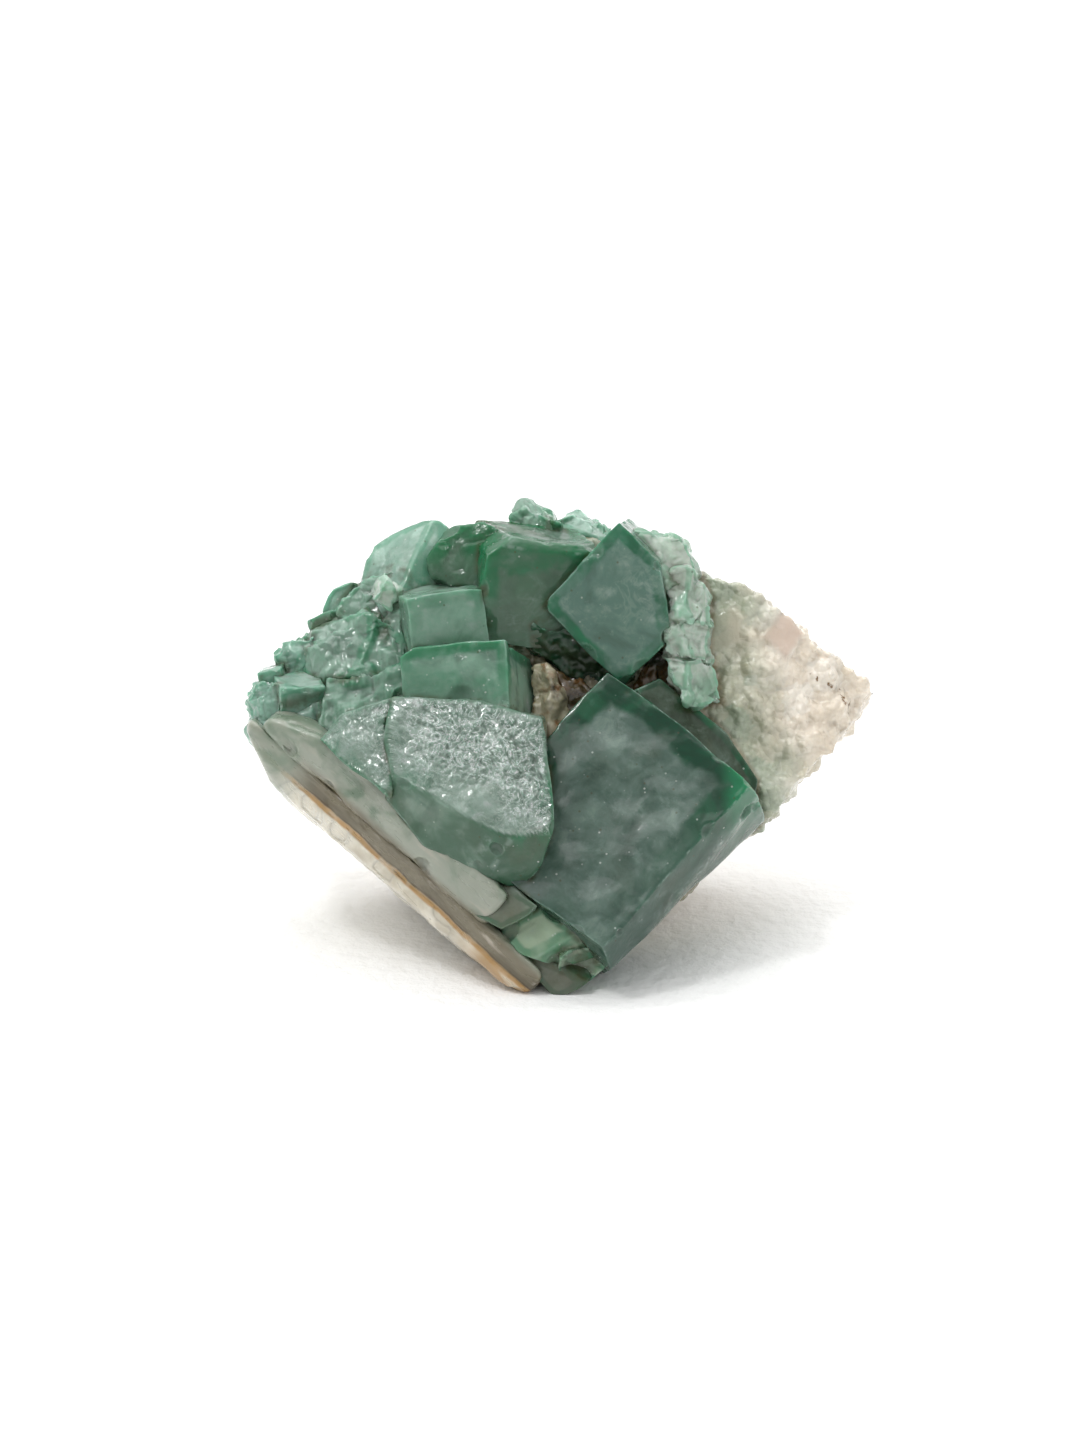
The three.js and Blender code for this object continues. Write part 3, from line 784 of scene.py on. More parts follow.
@dataclass(frozen=True)
class SugaryQuartz:
    """White quartz: milky, pink-brown on its smooth faces, green near the fluorite, dirty in the joints."""

    name: str
    white: Colour = tint(236, 225, 208)
    bright: Colour = tint(251, 248, 241)
    shade: Colour = tint(210, 196, 174)
    blush: Colour = tint(208, 188, 172)
    deep: Colour = tint(120, 88, 48)
    green: Colour = tint(128, 150, 122)

    def material(self) -> bpy.types.Material:
        """Builds the material. It reads the attributes tone, smooth, vein and gap."""
        g = Graph(self.name)
        tone, gap, flat = g.attribute("tone"), g.attribute("gap"), g.attribute("smooth")
        cloud = g.noise(7.0, 4.0, 0.5)
        base = g.blend(self.white, self.shade, cloud.step(0.42, 0.66) * 0.8)
        base = g.blend(base, self.bright, tone.step(0.4, 0.95) * 0.4)
        base = g.blend(base, self.blush, flat * (0.55 + cloud * 0.6))
        reach = gap + (g.noise(5.0, 4.0, 0.4, 3.0) - 0.5) * 9.0
        base = g.blend(base, self.green, reach.step(9.0, 0.6) * (0.55 + tone * 0.3))
        dots = g.noise(0.9, 4.0, 0.5, 2.0).step(0.5, 0.58)
        base = g.blend(base, self.deep, g.attribute("vein").step(0.5, 0.2) * dots)
        dirt = g.noise(2.4, 5.0, 0.9, 5.0).step(0.62, 0.72) * g.noise(11.0, 2.0, 0.0, 4.0).step(0.5, 0.62)
        base = g.blend(base, self.deep, dirt * 0.45)
        base = g.blend(base, self.deep, gap.step(0.9, 0.1) * 0.5)
        fine = g.noise(0.9, 4.0, 0.3, 1.0)
        grains = 1.0 - g.cells(1.9) * 0.7 - g.cells(0.9, g.shifted((1.7, 4.1, 2.3))) * 0.4
        return g.finish(
            base_color=base,
            roughness=0.08 + fine * 0.16,
            normal=g.bump(fine * 0.2 + grains * (1.0 - flat * 0.85), 0.9),
            ior=QUARTZ_IOR,
            subsurface_weight=0.6,
            subsurface_radius=(1.1, 1.05, 1.0),
            subsurface_scale=0.5 * MM,
            transmission_weight=0.1,
            coat_weight=0.5,
            coat_roughness=0.04,
        )


@dataclass(frozen=True)
class StainedQuartz:
    """Quartz in the hollow between the cubes: amber to dark brown stain, with near-black painted shadow deep
    in the hollow. A higher share gives more of the stain and more of the painted shadow.
    """

    name: str
    clean: Colour = tint(170, 164, 138)
    amber: Colour = tint(130, 88, 44)
    # near-black: the painted shadow deep in the hollow
    dark: Colour = tint(34, 30, 16)
    share: float = 0.6

    def material(self) -> bpy.types.Material:
        """Builds the material."""
        g = Graph(self.name)
        cloud = g.noise(2.2, 4.0, 0.8)
        base = g.blend(self.clean, self.amber, cloud.step(0.62 - self.share * 0.25, 0.72))
        # Near-black patches: painted shadow deep in the hollow.
        base = g.blend(base, self.dark, g.noise(3.0, 3.0, 0.4, 3.0).step(0.62 - self.share * 0.25, 0.7))
        return g.finish(
            base_color=base,
            roughness=0.12 + cloud * 0.25,
            normal=g.bump(cloud, 0.3),
            ior=QUARTZ_IOR,
            subsurface_weight=0.2,
            subsurface_radius=(1.4, 1.0, 0.6),
            subsurface_scale=0.8 * MM,
            transmission_weight=0.2,
            coat_weight=0.4,
        )


@dataclass(frozen=True)
class BandedSide:
    """The keel's left side: a white rind, a thin rusty seam, a streaked grey-brown band, then a pale slope.

    The bands follow the piece's own attributes: `bed`, the distance in millimetres above the seam's line, and
    `run`, from 0 at the line's upper end to 1 at its lower end. They run on from one layer's piece to the
    next, and past the upper end everything turns to the slope's colours.
    """

    name: str = "banded_side_finish"
    rind: Colour = tint(226, 221, 206)
    rind_shade: Colour = tint(188, 180, 160)
    rust: Colour = tint(178, 140, 82)
    orange: Colour = tint(196, 132, 54)
    brown: Colour = tint(84, 66, 40)
    band: Colour = tint(126, 119, 98)
    streak: Colour = tint(98, 90, 68)
    line: Colour = tint(196, 188, 174)
    slope: Colour = tint(158, 164, 150)
    green: Colour = tint(96, 122, 98)

    def material(self) -> bpy.types.Material:
        """Builds the material."""
        g = Graph(self.name)
        along = _bed_ways()[0]
        streaks = g.noise(1.5, 5.0, 0.4, place=g.squeezed(along, 0.16))
        cloud = g.noise(4.5, 4.0, 0.6)
        run = g.attribute("run")
        wander = (g.noise(5.5, 5.0, 0.3, 2.0, g.squeezed(along, 0.6)) - 0.5) * 1.8
        bed = g.attribute("bed") + wander
        base = g.blend(self.rind, self.rind_shade, cloud.step(0.44, 0.62) * 0.7)
        base = g.blend(base, self.rust, run.step(0.7, 0.86) * (0.3 + streaks.step(0.4, 0.6) * 0.5))
        base = self._band(g, base, bed, streaks, cloud)
        seam = (bed + 0.05).absolute()
        strength = g.noise(3.6, 3.0, 0.4, 7.0).step(0.34, 0.5)
        base = g.blend(base, self.rust, seam.step(0.42, 0.14) * (0.35 + strength * 0.6))
        spots = g.noise(3.0, 3.0, 0.4, 8.0).step(0.56, 0.64) * run.step(0.6, 0.3)
        base = g.blend(base, self.orange, (bed + 0.15).absolute().step(0.45, 0.1) * spots)
        base = g.blend(base, self.brown, (bed - 0.35).absolute().step(0.16, 0.02) * strength * 0.8)
        ends = run.step(0.1, -0.04)
        base = g.blend(base, self.slope, ends * 0.85)
        base = g.blend(base, self.green, ends * cloud.step(0.42, 0.58) * 0.6)
        return g.finish(
            base_color=base,
            roughness=0.14 + streaks * 0.3,
            normal=g.bump(streaks * 0.5 + cloud * 0.5, 0.3),
            ior=1.5,
            subsurface_weight=0.8,
            subsurface_radius=(1.1, 1.05, 1.0),
            subsurface_scale=0.9 * MM,
            transmission_weight=0.2,
            coat_weight=0.3,
            coat_roughness=0.08,
        )

    def _band(self, g: Graph, base: bpy.types.NodeSocket, bed: Value, streaks: Value,
              cloud: Value) -> bpy.types.NodeSocket:
        """The grey-brown band above the seam, streaked and lined, and the cloudy slope above it."""
        band = g.blend(self.band, self.streak, streaks.step(0.44, 0.6) * 0.8)
        pale = g.noise(1.1, 4.0, 0.2, 4.0, g.squeezed(_bed_ways()[0], 0.1)).step(0.58, 0.7)
        band = g.blend(band, self.line, pale * 0.7)
        slope = g.blend(self.slope, self.green, cloud.step(0.46, 0.66) * 0.75)
        slope = g.blend(slope, self.line, streaks.step(0.55, 0.7) * 0.5)
        base = g.blend(base, band, bed.step(0.0, 0.35))
        return g.blend(base, slope, bed.step(1.9, 3.2))


def _bed_ways() -> tuple[Vector, Vector]:
    """The way that the keel's layers run, down to the right on the leaned-back front, and the way across."""
    slope, lean = math.radians(BED_SLOPE_DEG), math.radians(LEAN_DEG)
    up = Vector((0.0, math.sin(lean), math.cos(lean)))
    right = Vector((1.0, 0.0, 0.0))
    return right * math.cos(slope) - up * math.sin(slope), right * math.sin(slope) + up * math.cos(slope)


@dataclass(frozen=True)
class Paper:
    """The pale floor: matt, with the faint grain of thick paper."""

    name: str = "pale_floor"
    colour: Colour = (0.9, 0.9, 0.895)

    def material(self) -> bpy.types.Material:
        """Builds the material."""
        g = Graph(self.name)
        grain = g.bump(g.noise(2.4, 4.0), 0.6)
        return g.finish(base_color=(*self.colour, 1.0), roughness=0.9, normal=grain)


# ---- Sub-assemblies ------------------------------------------------------------------------------


class Mineral(Enum):
    """The record's slots that a piece can take its finish from."""

    DEEP = "deep_fluorite"
    GREEN = "green_fluorite"
    PALE = "pale_fluorite"
    GREY = "grey_fluorite"
    WHITE = "white_quartz"
    RUSTY = "rusty_quartz"
    LILAC = "lilac_quartz"


Finish = Fluorite | StainedQuartz | SugaryQuartz | BandedSide


@dataclass(frozen=True)
class Relief:
    """How a crystal's faces differ from flat: waves, square growth steps, and ripples on its broken facets.

    Args:
        swell: the height of the slow waves, in millimetres.
        steps: the height of the growth steps, in millimetres.
        step_size: how wide the steps are, in millimetres.
        tilt: the most that a step is turned, in radians.
        fine: share of the steps' height that smaller steps on them have.
        ripple: the height of the ripples, in millimetres.
        broken_to: the way that the broken facets face, or None where nothing is broken.
        ripple_to: the way that the ripples grow stronger.
        margin: how much of a broken facet stays smooth at its left edge, in millimetres.
        green_to: the way to a corner whose rim gets bright green, painted light shining through the thin
            edges, or zeros.
    """

    swell: float = 0.14
    steps: float = 0.14
    step_size: float = 3.2
    tilt: float = 0.03
    fine: float = 0.0
    ripple: float = 0.0
    broken_to: Direction | None = None
    ripple_to: Direction = (0.6, 0.3, 0.8)
    margin: float = 0.0
    green_to: Direction = (0.0, 0.0, 0.0)


CLEAVED = Relief(0.12, 0.1, 4.0)
STEPPED = Relief(0.18, 0.3, 2.8, 0.05)
CLUSTERED = Relief(0.5, 1.7, 3.6, 0.2, 0.3)
JAGGED = Relief(0.3, 1.6, 2.9, 0.9, 0.2)
SUGARY = Relief(0.2, 0.8, 1.6, 0.9, 0.3)


@dataclass(frozen=True)
class Crystal:
    """One crystal: its CAD node, slot, finish and relief."""

    node: str
    mineral: Mineral
    finish: Finish
    relief: Relief = CLEAVED
    spacing: float = 0.28
    chips: Chips = Chips()
    seed: int = 1

    def skin(self, neighbours: "Neighbours") -> Skin:
        """The crystal's surface, moved in or out by its relief, with the attributes that its finish reads."""
        facets = neighbours.bodies[self.node]
        skin = FacetedBody(facets, self.spacing, chips=self.chips, seed=self.seed).skin()
        relief, points = self.relief, skin.points
        wave = layered_noise(points, BROAD, self.seed)
        move = wave * relief.swell + self._growth_steps(skin, facets)
        broken, strength = np.zeros(len(points)), np.zeros(len(points))
        if relief.broken_to is not None:
            broken, strength, ripples = self._breakage(skin, facets, wave)
            move += broken * ripples
        reach = (points - facets.middle) @ np.array(relief.green_to)
        skin.points = points + skin.outward * move[:, None]
        # Where painted light goes: leaf is the bright green of light through the edges, sparkle the glints on
        # broken faces, and top the pale sky reflection on faces that point up.
        skin.values.update(
            leaf=smoothstep(0.66, 0.8, reach / max(reach.max(), 1.0)),
            broken=broken,
            sparkle=broken * strength,
            top=smoothstep(0.45, 0.9, skin.outward[:, 2]),
            gap=neighbours.gap(skin.points, self.node),
        )
        return skin

    def _growth_steps(self, skin: Skin, facets: Facets) -> Array:
        """How far square growth steps move each point: terraces in four levels, in the crystal's own axes."""
        relief = self.relief
        local = (skin.points - facets.middle) @ facets.axes.T
        height, _ = crystal_crust(local, relief.step_size, self.seed + 5, relief.tilt, 0.0)
        fine, _ = crystal_crust(local, relief.step_size * 0.42, self.seed + 6, relief.tilt * 1.6, 0.0)
        levels = np.floor(np.clip(height, 0.0, 0.99) * 4.0) / 4.0
        terraces = 0.55 * levels + 0.45 * height + relief.fine * (fine - 0.5)
        inner = smoothstep(0.0, 0.7, skin.values["edge"])
        held = np.clip(1.3 - relief.steps, 0.2, 0.65)  # how much the steps fade towards an edge
        return (terraces - 0.5) * relief.steps * (1.0 - held + held * inner)

    def _breakage(self, skin: Skin, facets: Facets, wave: Array) -> tuple[Array, Array, Array]:
        """Where the crystal is broken, and how the break ripples.

        A ripple is a folded noise: one minus its size, squared, so that it has sharp crests.

        Args:
            skin: the crystal's surface before it is moved.
            facets: the crystal's facets.
            wave: the slow waves, which bend the ripples.

        Returns:
            1 on the broken facets and 0 elsewhere, the ripples' strength from 0 to 1, and how far they move
            each point.
        """
        relief, points = self.relief, skin.points
        broken = smoothstep(0.93, 0.97, skin.outward @ np.array(Vector(relief.broken_to).normalized()))
        from_left = points[:, 0] - points[:, 0].min() + 0.3
        broken *= smoothstep(relief.margin, relief.margin + 0.3, from_left)
        folds = 1.0 - np.abs(layered_noise(points + wave[:, None] * 2.0, 1.3, self.seed + 9, 3, 0.6))
        flow = (points - facets.middle) @ np.array(Vector(relief.ripple_to).normalized())
        strength = smoothstep(-7.0, 5.0, flow + 4.0 * layered_noise(points, 5.0, self.seed + 10, 2))
        rolls = layered_noise(points, 3.8, self.seed + 11, 2) * 0.22
        return broken, strength, (folds**2 - 0.5) * relief.ripple * (0.1 + strength) + rolls

    def build(self, neighbours: "Neighbours") -> bpy.types.Object:
        """Makes the crystal, dresses it, and sets it in place of its CAD node.

        Args:
            neighbours: all the crystals' facets.

        Returns:
            The finished piece.
        """
        piece = make_object(self.node + "_crystal", self.skin(neighbours))
        dress(piece, self.finish)
        settle(piece, self.mineral, self.node)
        return piece


@dataclass
class Neighbours:
    """All the crystals' facets by node, for the distance from a point to the nearest other crystal."""

    bodies: dict[str, Facets]

    def gap(self, points: Array, own: str = "") -> Array:
        """The largest depth outside a crystal's facets, least over the crystals; 0 or less is inside one.

        Args:
            points: where to measure.
            own: a crystal that is left out.

        Returns:
            The distances in millimetres, none of them over FAR.
        """
        nearest = np.full(len(points), FAR)
        for node, facets in self.bodies.items():
            close = np.linalg.norm(points - facets.middle, axis=1) < np.linalg.norm(facets.half) + FAR
            if node != own and close.any():
                nearest[close] = np.minimum(nearest[close], facets.depths(points[close]).max(axis=1))
        return nearest


DRESSED: dict[str, bpy.types.Material] = {}


def dress(piece: bpy.types.Object, finish: Finish) -> None:
    """Gives a piece its finish's material, which is made once and shared."""
    if finish.name not in DRESSED:
        DRESSED[finish.name] = finish.material()
    piece.data.materials.append(DRESSED[finish.name])


def settle(piece: bpy.types.Object, mineral: Mineral, *nodes: str) -> None:
    """Rides a piece on the specimen's one body, in place of any CAD nodes."""
    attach(piece, "root")
    if nodes:
        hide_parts(*nodes)
    log.info("%s: %d faces", piece.name, len(piece.data.polygons))


DEEP_A = Fluorite("front_right_finish", tint(82, 108, 97), tint(4, 72, 46), rim_width=2.9, rim_share=1.0,
                  rim_from=0.55, rim_even=0.9, backlit_share=0.3, murk=0.8, milk=0.42, rough=0.12, etch=0.02,
                  seed=1.0)
DEEP_B = Fluorite("front_left_finish", tint(130, 156, 138), tint(18, 88, 54), rim_width=1.7, rim_share=0.6,
                  rim_even=0.2, murk=0.4, milk=0.5, rough=0.06, etch=0.07, seed=2.0)
GREEN_C = Fluorite("middle_finish", tint(140, 180, 158), tint(28, 128, 84), rim_width=1.6, rim_share=0.85,
                   rim_from=0.75, rim_even=0.35, murk=0.5, milk=0.9, seed=3.0)
GREEN_D = replace(GREEN_C, name="stepped_finish", rim_share=0.4, seed=3.5)
DEEP_E = Fluorite("upper_centre_finish", tint(90, 124, 100), tint(20, 116, 70), rim_width=1.9, rim_from=0.6,
                  rim_even=0.3, milk=0.4, stained=0.35, seed=4.0)
DEEP_F = Fluorite("upper_right_finish", tint(106, 140, 126), tint(26, 108, 74), rim_width=1.5, rim_even=0.2,
                  murk=0.5, milk=0.9, etch=0.02, seed=5.0)
GREEN_L = Fluorite("left_finish", tint(140, 180, 158), tint(60, 150, 108), rim_width=0.7, rim_share=0.6,
                   milk=0.8, stained=0.1, glow=0.8, gloss=0.5, seed=6.0)
PALE = Fluorite("pale_finish", tint(144, 184, 166), tint(84, 162, 128), dark=tint(92, 144, 118),
                light=tint(200, 220, 208), rim_width=0.7, rim_share=0.6, milk=0.8, stained=0.08, glow=0.8,
                gloss=0.5, seed=7.0)
ICY = Fluorite("druse_finish", tint(194, 212, 196), tint(130, 192, 160), dark=tint(146, 184, 160),
               light=tint(230, 239, 230), rim_width=0.5, rim_share=0.6, murk=0.9, milk=0.7, glow=0.7,
               gloss=0.3, seed=9.0)
# Paler than the crystals' own colour: painted light, standing for light coming through them in the shade under
# the big cube.
KEEL = Fluorite("keel_finish", tint(184, 206, 178), tint(112, 164, 130), rim_width=0.9, glow=0.9, seed=8.0)
# Very dark olive green, painted shade: in the hollow it stands for the shaded lower parts of the cubes above.
# The dark crystal behind the big cube wears it too.
DARK_SHADED = Fluorite("dark_shaded_finish", tint(58, 78, 54), tint(24, 74, 46), dark=tint(36, 50, 34), rim_width=0.9,
                  stained=0.5, etch=0.02, glow=0.8, seed=8.2)
SMOKY = Fluorite("keel_tip_finish", tint(134, 142, 124), tint(96, 120, 98), dark=tint(92, 102, 84),
                 rim_width=0.8, stained=0.3, glow=0.9, seed=8.5)
WHITE = SugaryQuartz("sugary_quartz_finish")
HOLLOW_WHITE = StainedQuartz("hollow_quartz", share=0.5)
# The brown and amber pieces get the most painted shadow.
HOLLOW_BROWN = StainedQuartz("hollow_brown", clean=tint(92, 80, 54), share=0.9)
HOLLOW_AMBER = StainedQuartz("hollow_amber", clean=tint(84, 70, 40), share=1.2)
BANDS = BandedSide()


MEETING = 0.3  # how far each crystal grows past its CAD solid, so that it meets its neighbours


class Specimen:
    """The whole cluster, built one group of crystals at a time."""

    def __init__(self) -> None:
        """Lists the crystals, and works out their facets."""
        self.crystals = [
            *self.front_cubes(), *self.upper_cubes(), *self.left_crystals(), *self.druse_crystals(),
            *self.hollow_crystals(), *self.keel_crystals(),
        ]
        self.neighbours = Neighbours({c.node: Facets.of_nodes(c.node, grow=MEETING) for c in self.crystals})

    def front_cubes(self) -> list[Crystal]:
        """The two big cubes, and the step at the left."""
        flat = Relief(0.1, 0.1, 5.0, green_to=(1.0, 0.0, 0.0))
        rough = Relief(0.15, 0.08, 3.2, ripple=0.34, broken_to=(-0.06, -0.75, 0.66), margin=1.5)
        rough_step = Relief(0.15, 0.08, 3.0, ripple=0.34, broken_to=(-0.2, -0.77, 0.6))
        return [
            Crystal("front_right_cube", Mineral.DEEP, DEEP_A, flat, 0.26, Chips(24, 0.4, 1.3)),
            Crystal("front_left_cube", Mineral.DEEP, DEEP_B, rough, 0.2, Chips(22, 0.4, 1.6), 2),
            Crystal("front_left_step", Mineral.GREEN, DEEP_B, rough_step, 0.22, Chips(10), 3),
        ]

    def upper_cubes(self) -> list[Crystal]:
        """The cubes that climb from behind the big ones to the crest, and the small crystals on it."""
        lumpy = Relief(0.4, 0.8, 3.6, 0.2, 0.2)
        return [
            Crystal("middle_cube", Mineral.GREEN, GREEN_C, STEPPED, 0.24, Chips(18), 4),
            Crystal("small_stepped_cube", Mineral.GREEN, GREEN_D, STEPPED, 0.24, Chips(14), 5),
            Crystal("upper_centre_cube", Mineral.DEEP, DEEP_E, STEPPED, 0.26, Chips(20), 6),
            Crystal("upper_centre_shoulder", Mineral.GREEN, DEEP_E, lumpy, 0.24, Chips(14), 7),
            Crystal("upper_right_cube", Mineral.DEEP, DEEP_F, CLEAVED, 0.26, Chips(22, 0.6, 2.2), 8),
            Crystal("upper_left_pale_cube", Mineral.PALE, PALE, STEPPED, 0.26, Chips(16), 9),
            Crystal("top_bud_left", Mineral.PALE, GREEN_L, CLUSTERED, 0.22, Chips(8), 10),
            Crystal("top_bud_right", Mineral.GREEN, GREEN_C, CLUSTERED, 0.22, Chips(6), 11),
            Crystal("top_pale_cluster", Mineral.PALE, PALE, JAGGED, 0.22, Chips(8), 12),
        ]

    def left_crystals(self) -> list[Crystal]:
        """The small crystals of the left end."""
        made = (
            ("left_flat_cube", Mineral.PALE, PALE, STEPPED),
            ("left_tiny_cube", Mineral.PALE, PALE, STEPPED),
            ("left_bead_crystal", Mineral.PALE, ICY, JAGGED),
            ("left_rounded_cluster", Mineral.GREEN, GREEN_L, CLUSTERED),
            ("left_green_block", Mineral.GREEN, GREEN_L, CLUSTERED),
            ("left_pale_cube", Mineral.PALE, PALE, STEPPED),
            ("left_thin_plate", Mineral.GREEN, GREEN_L, STEPPED),
            ("left_edge_cluster", Mineral.PALE, PALE, CLUSTERED),
            ("left_end_block", Mineral.PALE, PALE, CLUSTERED),
            ("left_olive_crystal", Mineral.DEEP, GREEN_C, CLUSTERED),
        )
        chips = Chips(8, 0.4, 1.4)
        return [Crystal(*row, 0.22, chips, 20 + i) for i, row in enumerate(made)]

    def druse_crystals(self) -> list[Crystal]:
        """The pale crystals between the green cubes and the quartz, and the dark one behind the big cube."""
        nodes = ("druse_pale_cube", "druse_upper_crystal", "druse_middle_crystal", "druse_lower_crystal")
        chips = Chips(10, 0.4, 1.4)
        pale = [Crystal(node, Mineral.PALE, ICY, JAGGED, 0.2, chips, 40 + i) for i, node in enumerate(nodes)]
        return [*pale, Crystal("edge_dark_crystal", Mineral.DEEP, DARK_SHADED, CLEAVED, seed=45)]

    def hollow_crystals(self) -> list[Crystal]:
        """What shows in the hollow between the cubes."""
        made = (
            # Painted shade: this dark olive stands for the shaded lower parts of the cubes over the hollow.
            ("cavity_olive_crystal", Mineral.DEEP, DARK_SHADED),
            ("cavity_quartz_crystal", Mineral.WHITE, HOLLOW_WHITE),
            ("cavity_brown_crystal", Mineral.RUSTY, HOLLOW_BROWN),
            ("cavity_amber_crystal", Mineral.RUSTY, HOLLOW_AMBER),
        )
        return [Crystal(*row, SUGARY, 0.2, seed=50 + i) for i, row in enumerate(made)]

    def keel_crystals(self) -> list[Crystal]:
        """The broken crystals at the bottom of the keel."""
        made = (
            ("keel_wedge_crystal", Mineral.GREEN, SMOKY),
            ("keel_dark_cube", Mineral.DEEP, KEEL),
            ("keel_green_lump", Mineral.GREEN, KEEL),
            ("keel_tip", Mineral.GREY, SMOKY),
        )
        wavy = Relief(0.35, 0.25, 3.0, 0.4)
        return [Crystal(*row, wavy, 0.22, seed=60 + i) for i, row in enumerate(made)]

    def keel_side(self) -> list["KeelLayer"]:
        """The layers of the keel's left side. The seam and the rind stand proud of the band under them."""
        return [
            KeelLayer("left_slope", Mineral.GREY, 0.4),
            KeelLayer("lilac_quartz_band", Mineral.LILAC, 0.35, ("rust_seam", "white_rind")),
            KeelLayer("rust_seam", Mineral.RUSTY, 0.42),
            KeelLayer("white_rind", Mineral.WHITE, 0.5),
        ]

    def build(self) -> None:
        """Builds every crystal, then the banded side and the quartz."""
        for crystal in self.crystals:
            crystal.build(self.neighbours)
        bedding = Bedding.of_seam("rust_seam")
        for layer in self.keel_side():
            layer.build(bedding)
        QuartzMatrix().build(self.neighbours)


@dataclass(frozen=True)
class Bedding:
    """Where the layers of the keel's side run: the seam's line, from its upper end to its lower end.

    Args:
        start: how far along the layers the line's upper end is, in millimetres.
        end: the same for its lower end.
        start_level: how far across the layers its upper end is.
        end_level: the same for its lower end.
        rise: how far the coloured seam lies above the middle of its node.
    """

    start: float
    end: float
    start_level: float
    end_level: float
    rise: float = 0.3

    @classmethod
    def of_seam(cls, node: str, reach: float = 3.0) -> "Bedding":
        """The line through the middles of the two ends of the seam's CAD node.

        Args:
            node: the seam's CAD node.
            reach: how much of the node counts as its end, in millimetres.

        Returns:
            The bedding.
        """
        along, across = (np.array(way) for way in _bed_ways())
        corners = np.array([vertex.co[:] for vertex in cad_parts[node].data.vertices]) / MM
        run, level = corners @ along, corners @ across
        upper, lower = run < run.min() + reach, run > run.max() - reach
        return cls(run.min(), run.max(), level[upper].mean(), level[lower].mean())

    def values(self, points: Array) -> dict[str, Array]:
        """The attributes that the banded finish reads, for some points."""
        along, across = (np.array(way) for way in _bed_ways())
        run = (points @ along - self.start) / (self.end - self.start)
        fall = (self.end_level - self.start_level) * np.clip(run, 0.0, 1.0)
        return {"run": run, "bed": points @ across - (self.rise + self.start_level + fall)}


@dataclass(frozen=True)
class KeelLayer:
    """One layer of the keel's left side, broken off unevenly; all the layers share one set of waves.

    Args:
        node: the layer's CAD node.
        mineral: the layer's slot.
        grow: how far the layer grows past its CAD solid, in millimetres.
        reaches: other nodes that the layer reaches under.
        spacing: the grid's spacing in millimetres.
        streak: the height of the streaks, which run along the layer.
        lump: the height of the lumps.
    """

    node: str
    mineral: Mineral
    grow: float
    reaches: tuple[str, ...] = ()
    spacing: float = 0.28
    streak: float = 0.08
    lump: float = 0.45

    def build(self, bedding: Bedding) -> bpy.types.Object:
        """Makes the layer and sets it in place of its own CAD node.

        Args:
            bedding: the seam's line, for the attributes that the finish reads.

        Returns:
            The finished piece.
        """
        facets = Facets.of_nodes(self.node, *self.reaches, grow=self.grow)
        chips = Chips(14, 0.6, 2.0)
        skin = FacetedBody(facets, self.spacing, 0.4, chips, seed=71, crowd=0.3, warp=0.0).skin()
        along = np.array(_bed_ways()[0])
        shortened = skin.points - (skin.points @ along)[:, None] * along * 0.75
        streaks = layered_noise(shortened, 1.8, 72) * self.streak
        lumps = layered_noise(skin.points, 6.0, 73, 4) * self.lump
        skin.points += skin.outward * (streaks + lumps)[:, None]
        skin.values.update(bedding.values(skin.points))
        piece = make_object(self.node + "_layer", skin)
        dress(piece, BANDS)
        settle(piece, self.mineral, self.node)
        return piece


def from_front(points: Array, place: tuple[float, float]) -> tuple[Array, Array]:
    """How far points lie to the right of and above a place, seen from the front.

    Args:
        points: the points, in millimetres.
        place: shares of the specimen's width and height.

    Returns:
        The distances to the right and upwards, in millimetres.
    """
    low, high = (np.array(corner) / MM for corner in CAD_BOX)
    start = low[[0, 2]] + np.array(place) * (high - low)[[0, 2]]
    return points[:, 0] - start[0], points[:, 2] - start[1]


@dataclass(frozen=True)
class SmoothFace:
    """A large smooth crystal face in the sugary quartz, seen from the front.

    Args:
        place: its middle, as shares of the specimen's width and height.
        half: its half-width in millimetres.
        turn: how far it is turned, in degrees.
    """

    place: tuple[float, float]
    half: float
    turn: float

    def share(self, points: Array) -> Array:
        """1 inside the face and 0 outside, by the larger of the distances along its two turned sides."""
        angle = math.radians(self.turn)
        x, z = from_front(points, self.place)
        turned = np.stack([
            x * math.cos(angle) + z * math.sin(angle),
            z * math.cos(angle) - x * math.sin(angle),
        ])
        return smoothstep(self.half, self.half * 0.6, np.abs(turned).max(axis=0))


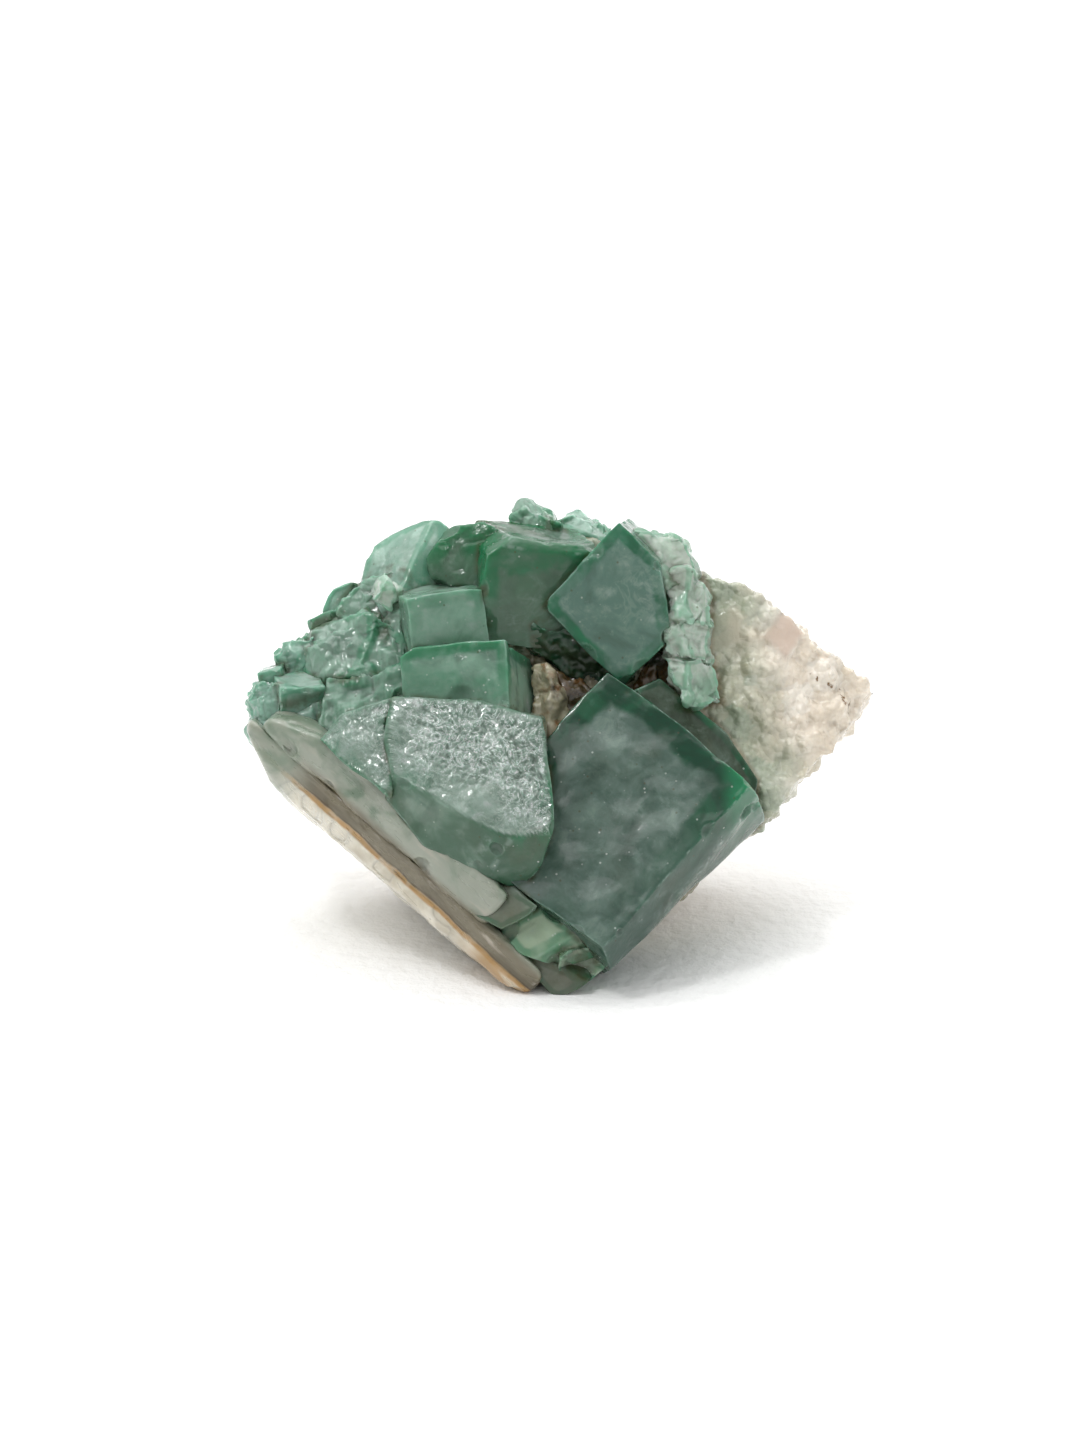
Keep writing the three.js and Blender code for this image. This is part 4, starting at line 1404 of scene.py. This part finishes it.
@dataclass(frozen=True)
class QuartzMatrix:
    """The white quartz that everything sits in, crusted over with small crystals in two sizes.

    Args:
        node: the quartz's CAD node.
        voxel: the skin's spacing in millimetres.
        faces: the large smooth faces that have no crust.
        vein_from: where the dark vein starts, as shares of the specimen's width and height.
        vein_run: how far the vein runs to the right, in millimetres.
        vein_drop: how far it falls on the way, in millimetres.
    """

    node: str = "quartz_matrix"
    voxel: float = 0.36
    faces: tuple[SmoothFace, ...] = (
        SmoothFace((0.755, 0.73), 2.4, 20.0),
        SmoothFace((0.85, 0.715), 2.3, 50.0),
    )
    vein_from: tuple[float, float] = (0.895, 0.612)
    vein_run: float = 4.374
    vein_drop: float = 3.355

    def build(self, neighbours: Neighbours) -> None:
        """Makes the crusted quartz, left flat at its foot, and sets it in place of its CAD node."""
        skin = remeshed(self.node, self.voxel)
        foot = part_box(self.node)[0][2] / MM
        points = skin.points
        large, tone = crystal_crust(points, 3.6, 81, math.pi, 0.15)
        small, _ = crystal_crust(points, 1.8, 82, math.pi, 0.15)
        lumps = layered_noise(points, 8.0, 83, 3) * 0.7
        lean = math.radians(LEAN_DEG)
        front = smoothstep(0.1, 0.4, skin.outward @ np.array([0.0, -math.cos(lean), math.sin(lean)]))
        smooth = np.max([face.share(points) for face in self.faces], axis=0) * front
        crust = (large - 0.5) * 1.2 + (small - 0.5) * 1.0
        above = smoothstep(0.2, 2.5, points[:, 2] - foot)
        skin.points = points + skin.outward * ((lumps + crust * (1.0 - smooth)) * above)[:, None]
        vein = self._vein(skin.points) + FAR * (1.0 - front)
        skin.values.update(tone=tone, gap=neighbours.gap(skin.points), smooth=smooth, vein=vein)
        piece = make_object("quartz_matrix_bed", skin)
        dress(piece, WHITE)
        settle(piece, Mineral.WHITE, self.node)

    def _vein(self, points: Array) -> Array:
        """The distance in millimetres, seen from the front, from a short vein that curves down and right."""
        x, z = from_front(points, self.vein_from)
        share = np.clip(x / self.vein_run, 0.0, 1.0)
        return np.hypot(x - self.vein_run * share, z + self.vein_drop * share**1.6)


# ---- Studio --------------------------------------------------------------------------------------


@dataclass(frozen=True)
class Panel:
    """A square soft light that faces the specimen: its power in watts, and its side and place in metres."""

    name: str
    power: float
    side: float
    place: tuple[float, float, float]

    def build(self) -> None:
        """Makes the light."""
        light = bpy.data.lights.new(self.name, "AREA")
        light.energy, light.size = self.power, self.side
        panel = bpy.data.objects.new(self.name, light)
        panel.location = self.place
        panel.rotation_euler = (Vector((0.0, 0.0, 0.02)) - panel.location).to_track_quat("-Z", "Y").to_euler()
        bpy.context.scene.collection.objects.link(panel)


@dataclass(frozen=True)
class Studio:
    """A pale floor, soft light from above and a camera that looks down at the specimen's face.

    Args:
        distance: from the camera to its aim, in metres.
        lens: the camera's focal length in millimetres.
        aim: what the camera looks at, as shares of the specimen's box on each axis.
        surround: the strength of the even light from all round.
        sun: the strength of the light from above.
        sun_angle: how wide that light is, in degrees.
        panels: the soft lights nearby.
        floor_half: half of the floor's side, in metres.
    """

    distance: float = 0.6
    lens: float = 129.7
    aim: tuple[float, float, float] = (0.468, 0.4347, 0.5357)
    surround: float = 0.78
    sun: float = 1.95
    sun_angle: float = 75.0
    panels: tuple[Panel, ...] = (
        Panel("front_light", 1.2, 0.1, (-0.3, -0.22, 0.72)),
        Panel("back_light", 1.1, 0.4, (0.35, 0.65, 0.5)),
    )
    floor_half: float = 3.0

    def build(self) -> None:
        """Makes the floor, the lights and the camera."""
        self._floor()
        self._world()
        self._overhead()
        for panel in self.panels:
            panel.build()
        self._camera()

    def _floor(self) -> None:
        """One large sheet under the specimen."""
        mesh = bpy.data.meshes.new("floor")
        half = self.floor_half
        corners = [(-half, -half, 0), (half, -half, 0), (half, half, 0), (-half, half, 0)]
        mesh.from_pydata(corners, [], [(0, 1, 2, 3)])
        mesh.materials.append(Paper().material())
        floor = bpy.data.objects.new("floor", mesh)
        bpy.context.scene.collection.objects.link(floor)

    def _world(self) -> None:
        """A dim, even surround."""
        world = bpy.data.worlds.new("surround")
        world.use_nodes = True
        background = world.node_tree.nodes["Background"]
        background.inputs["Color"].default_value = (1.0, 1.0, 1.0, 1.0)
        background.inputs["Strength"].default_value = self.surround
        bpy.context.scene.world = world
        bpy.context.scene.view_settings.view_transform = "Standard"

    def _overhead(self) -> None:
        """A very soft light from nearly straight above, the same all over the floor."""
        light = bpy.data.lights.new("overhead_light", "SUN")
        light.energy, light.angle = self.sun, math.radians(self.sun_angle)
        sun = bpy.data.objects.new("overhead_light", light)
        sun.rotation_euler = (math.radians(-12.0), math.radians(-10.0), 0.0)
        bpy.context.scene.collection.objects.link(sun)

    def _camera(self) -> None:
        """The camera, at the front and raised by the angle that the specimen leans back."""
        low, high = (np.array(corner) for corner in CAD_BOX)
        target = Vector(low + (high - low) * np.array(self.aim))
        lean = math.radians(LEAN_DEG)
        back = Vector((0.0, -math.cos(lean), math.sin(lean)))
        data = bpy.data.cameras.new("camera")
        data.lens, data.sensor_width, data.sensor_fit = self.lens, 36.0, "AUTO"
        data.clip_start, data.clip_end = 0.05, 20.0
        camera = bpy.data.objects.new("camera", data)
        camera.location = target + back * self.distance
        camera.rotation_euler = (-back).to_track_quat("-Z", "Y").to_euler()
        bpy.context.scene.collection.objects.link(camera)
        bpy.context.scene.camera = camera


def main() -> None:
    logging.basicConfig(level=logging.INFO, format="%(message)s")
    Studio().build()
    Specimen().build()


if __name__ == "__main__":
    main()
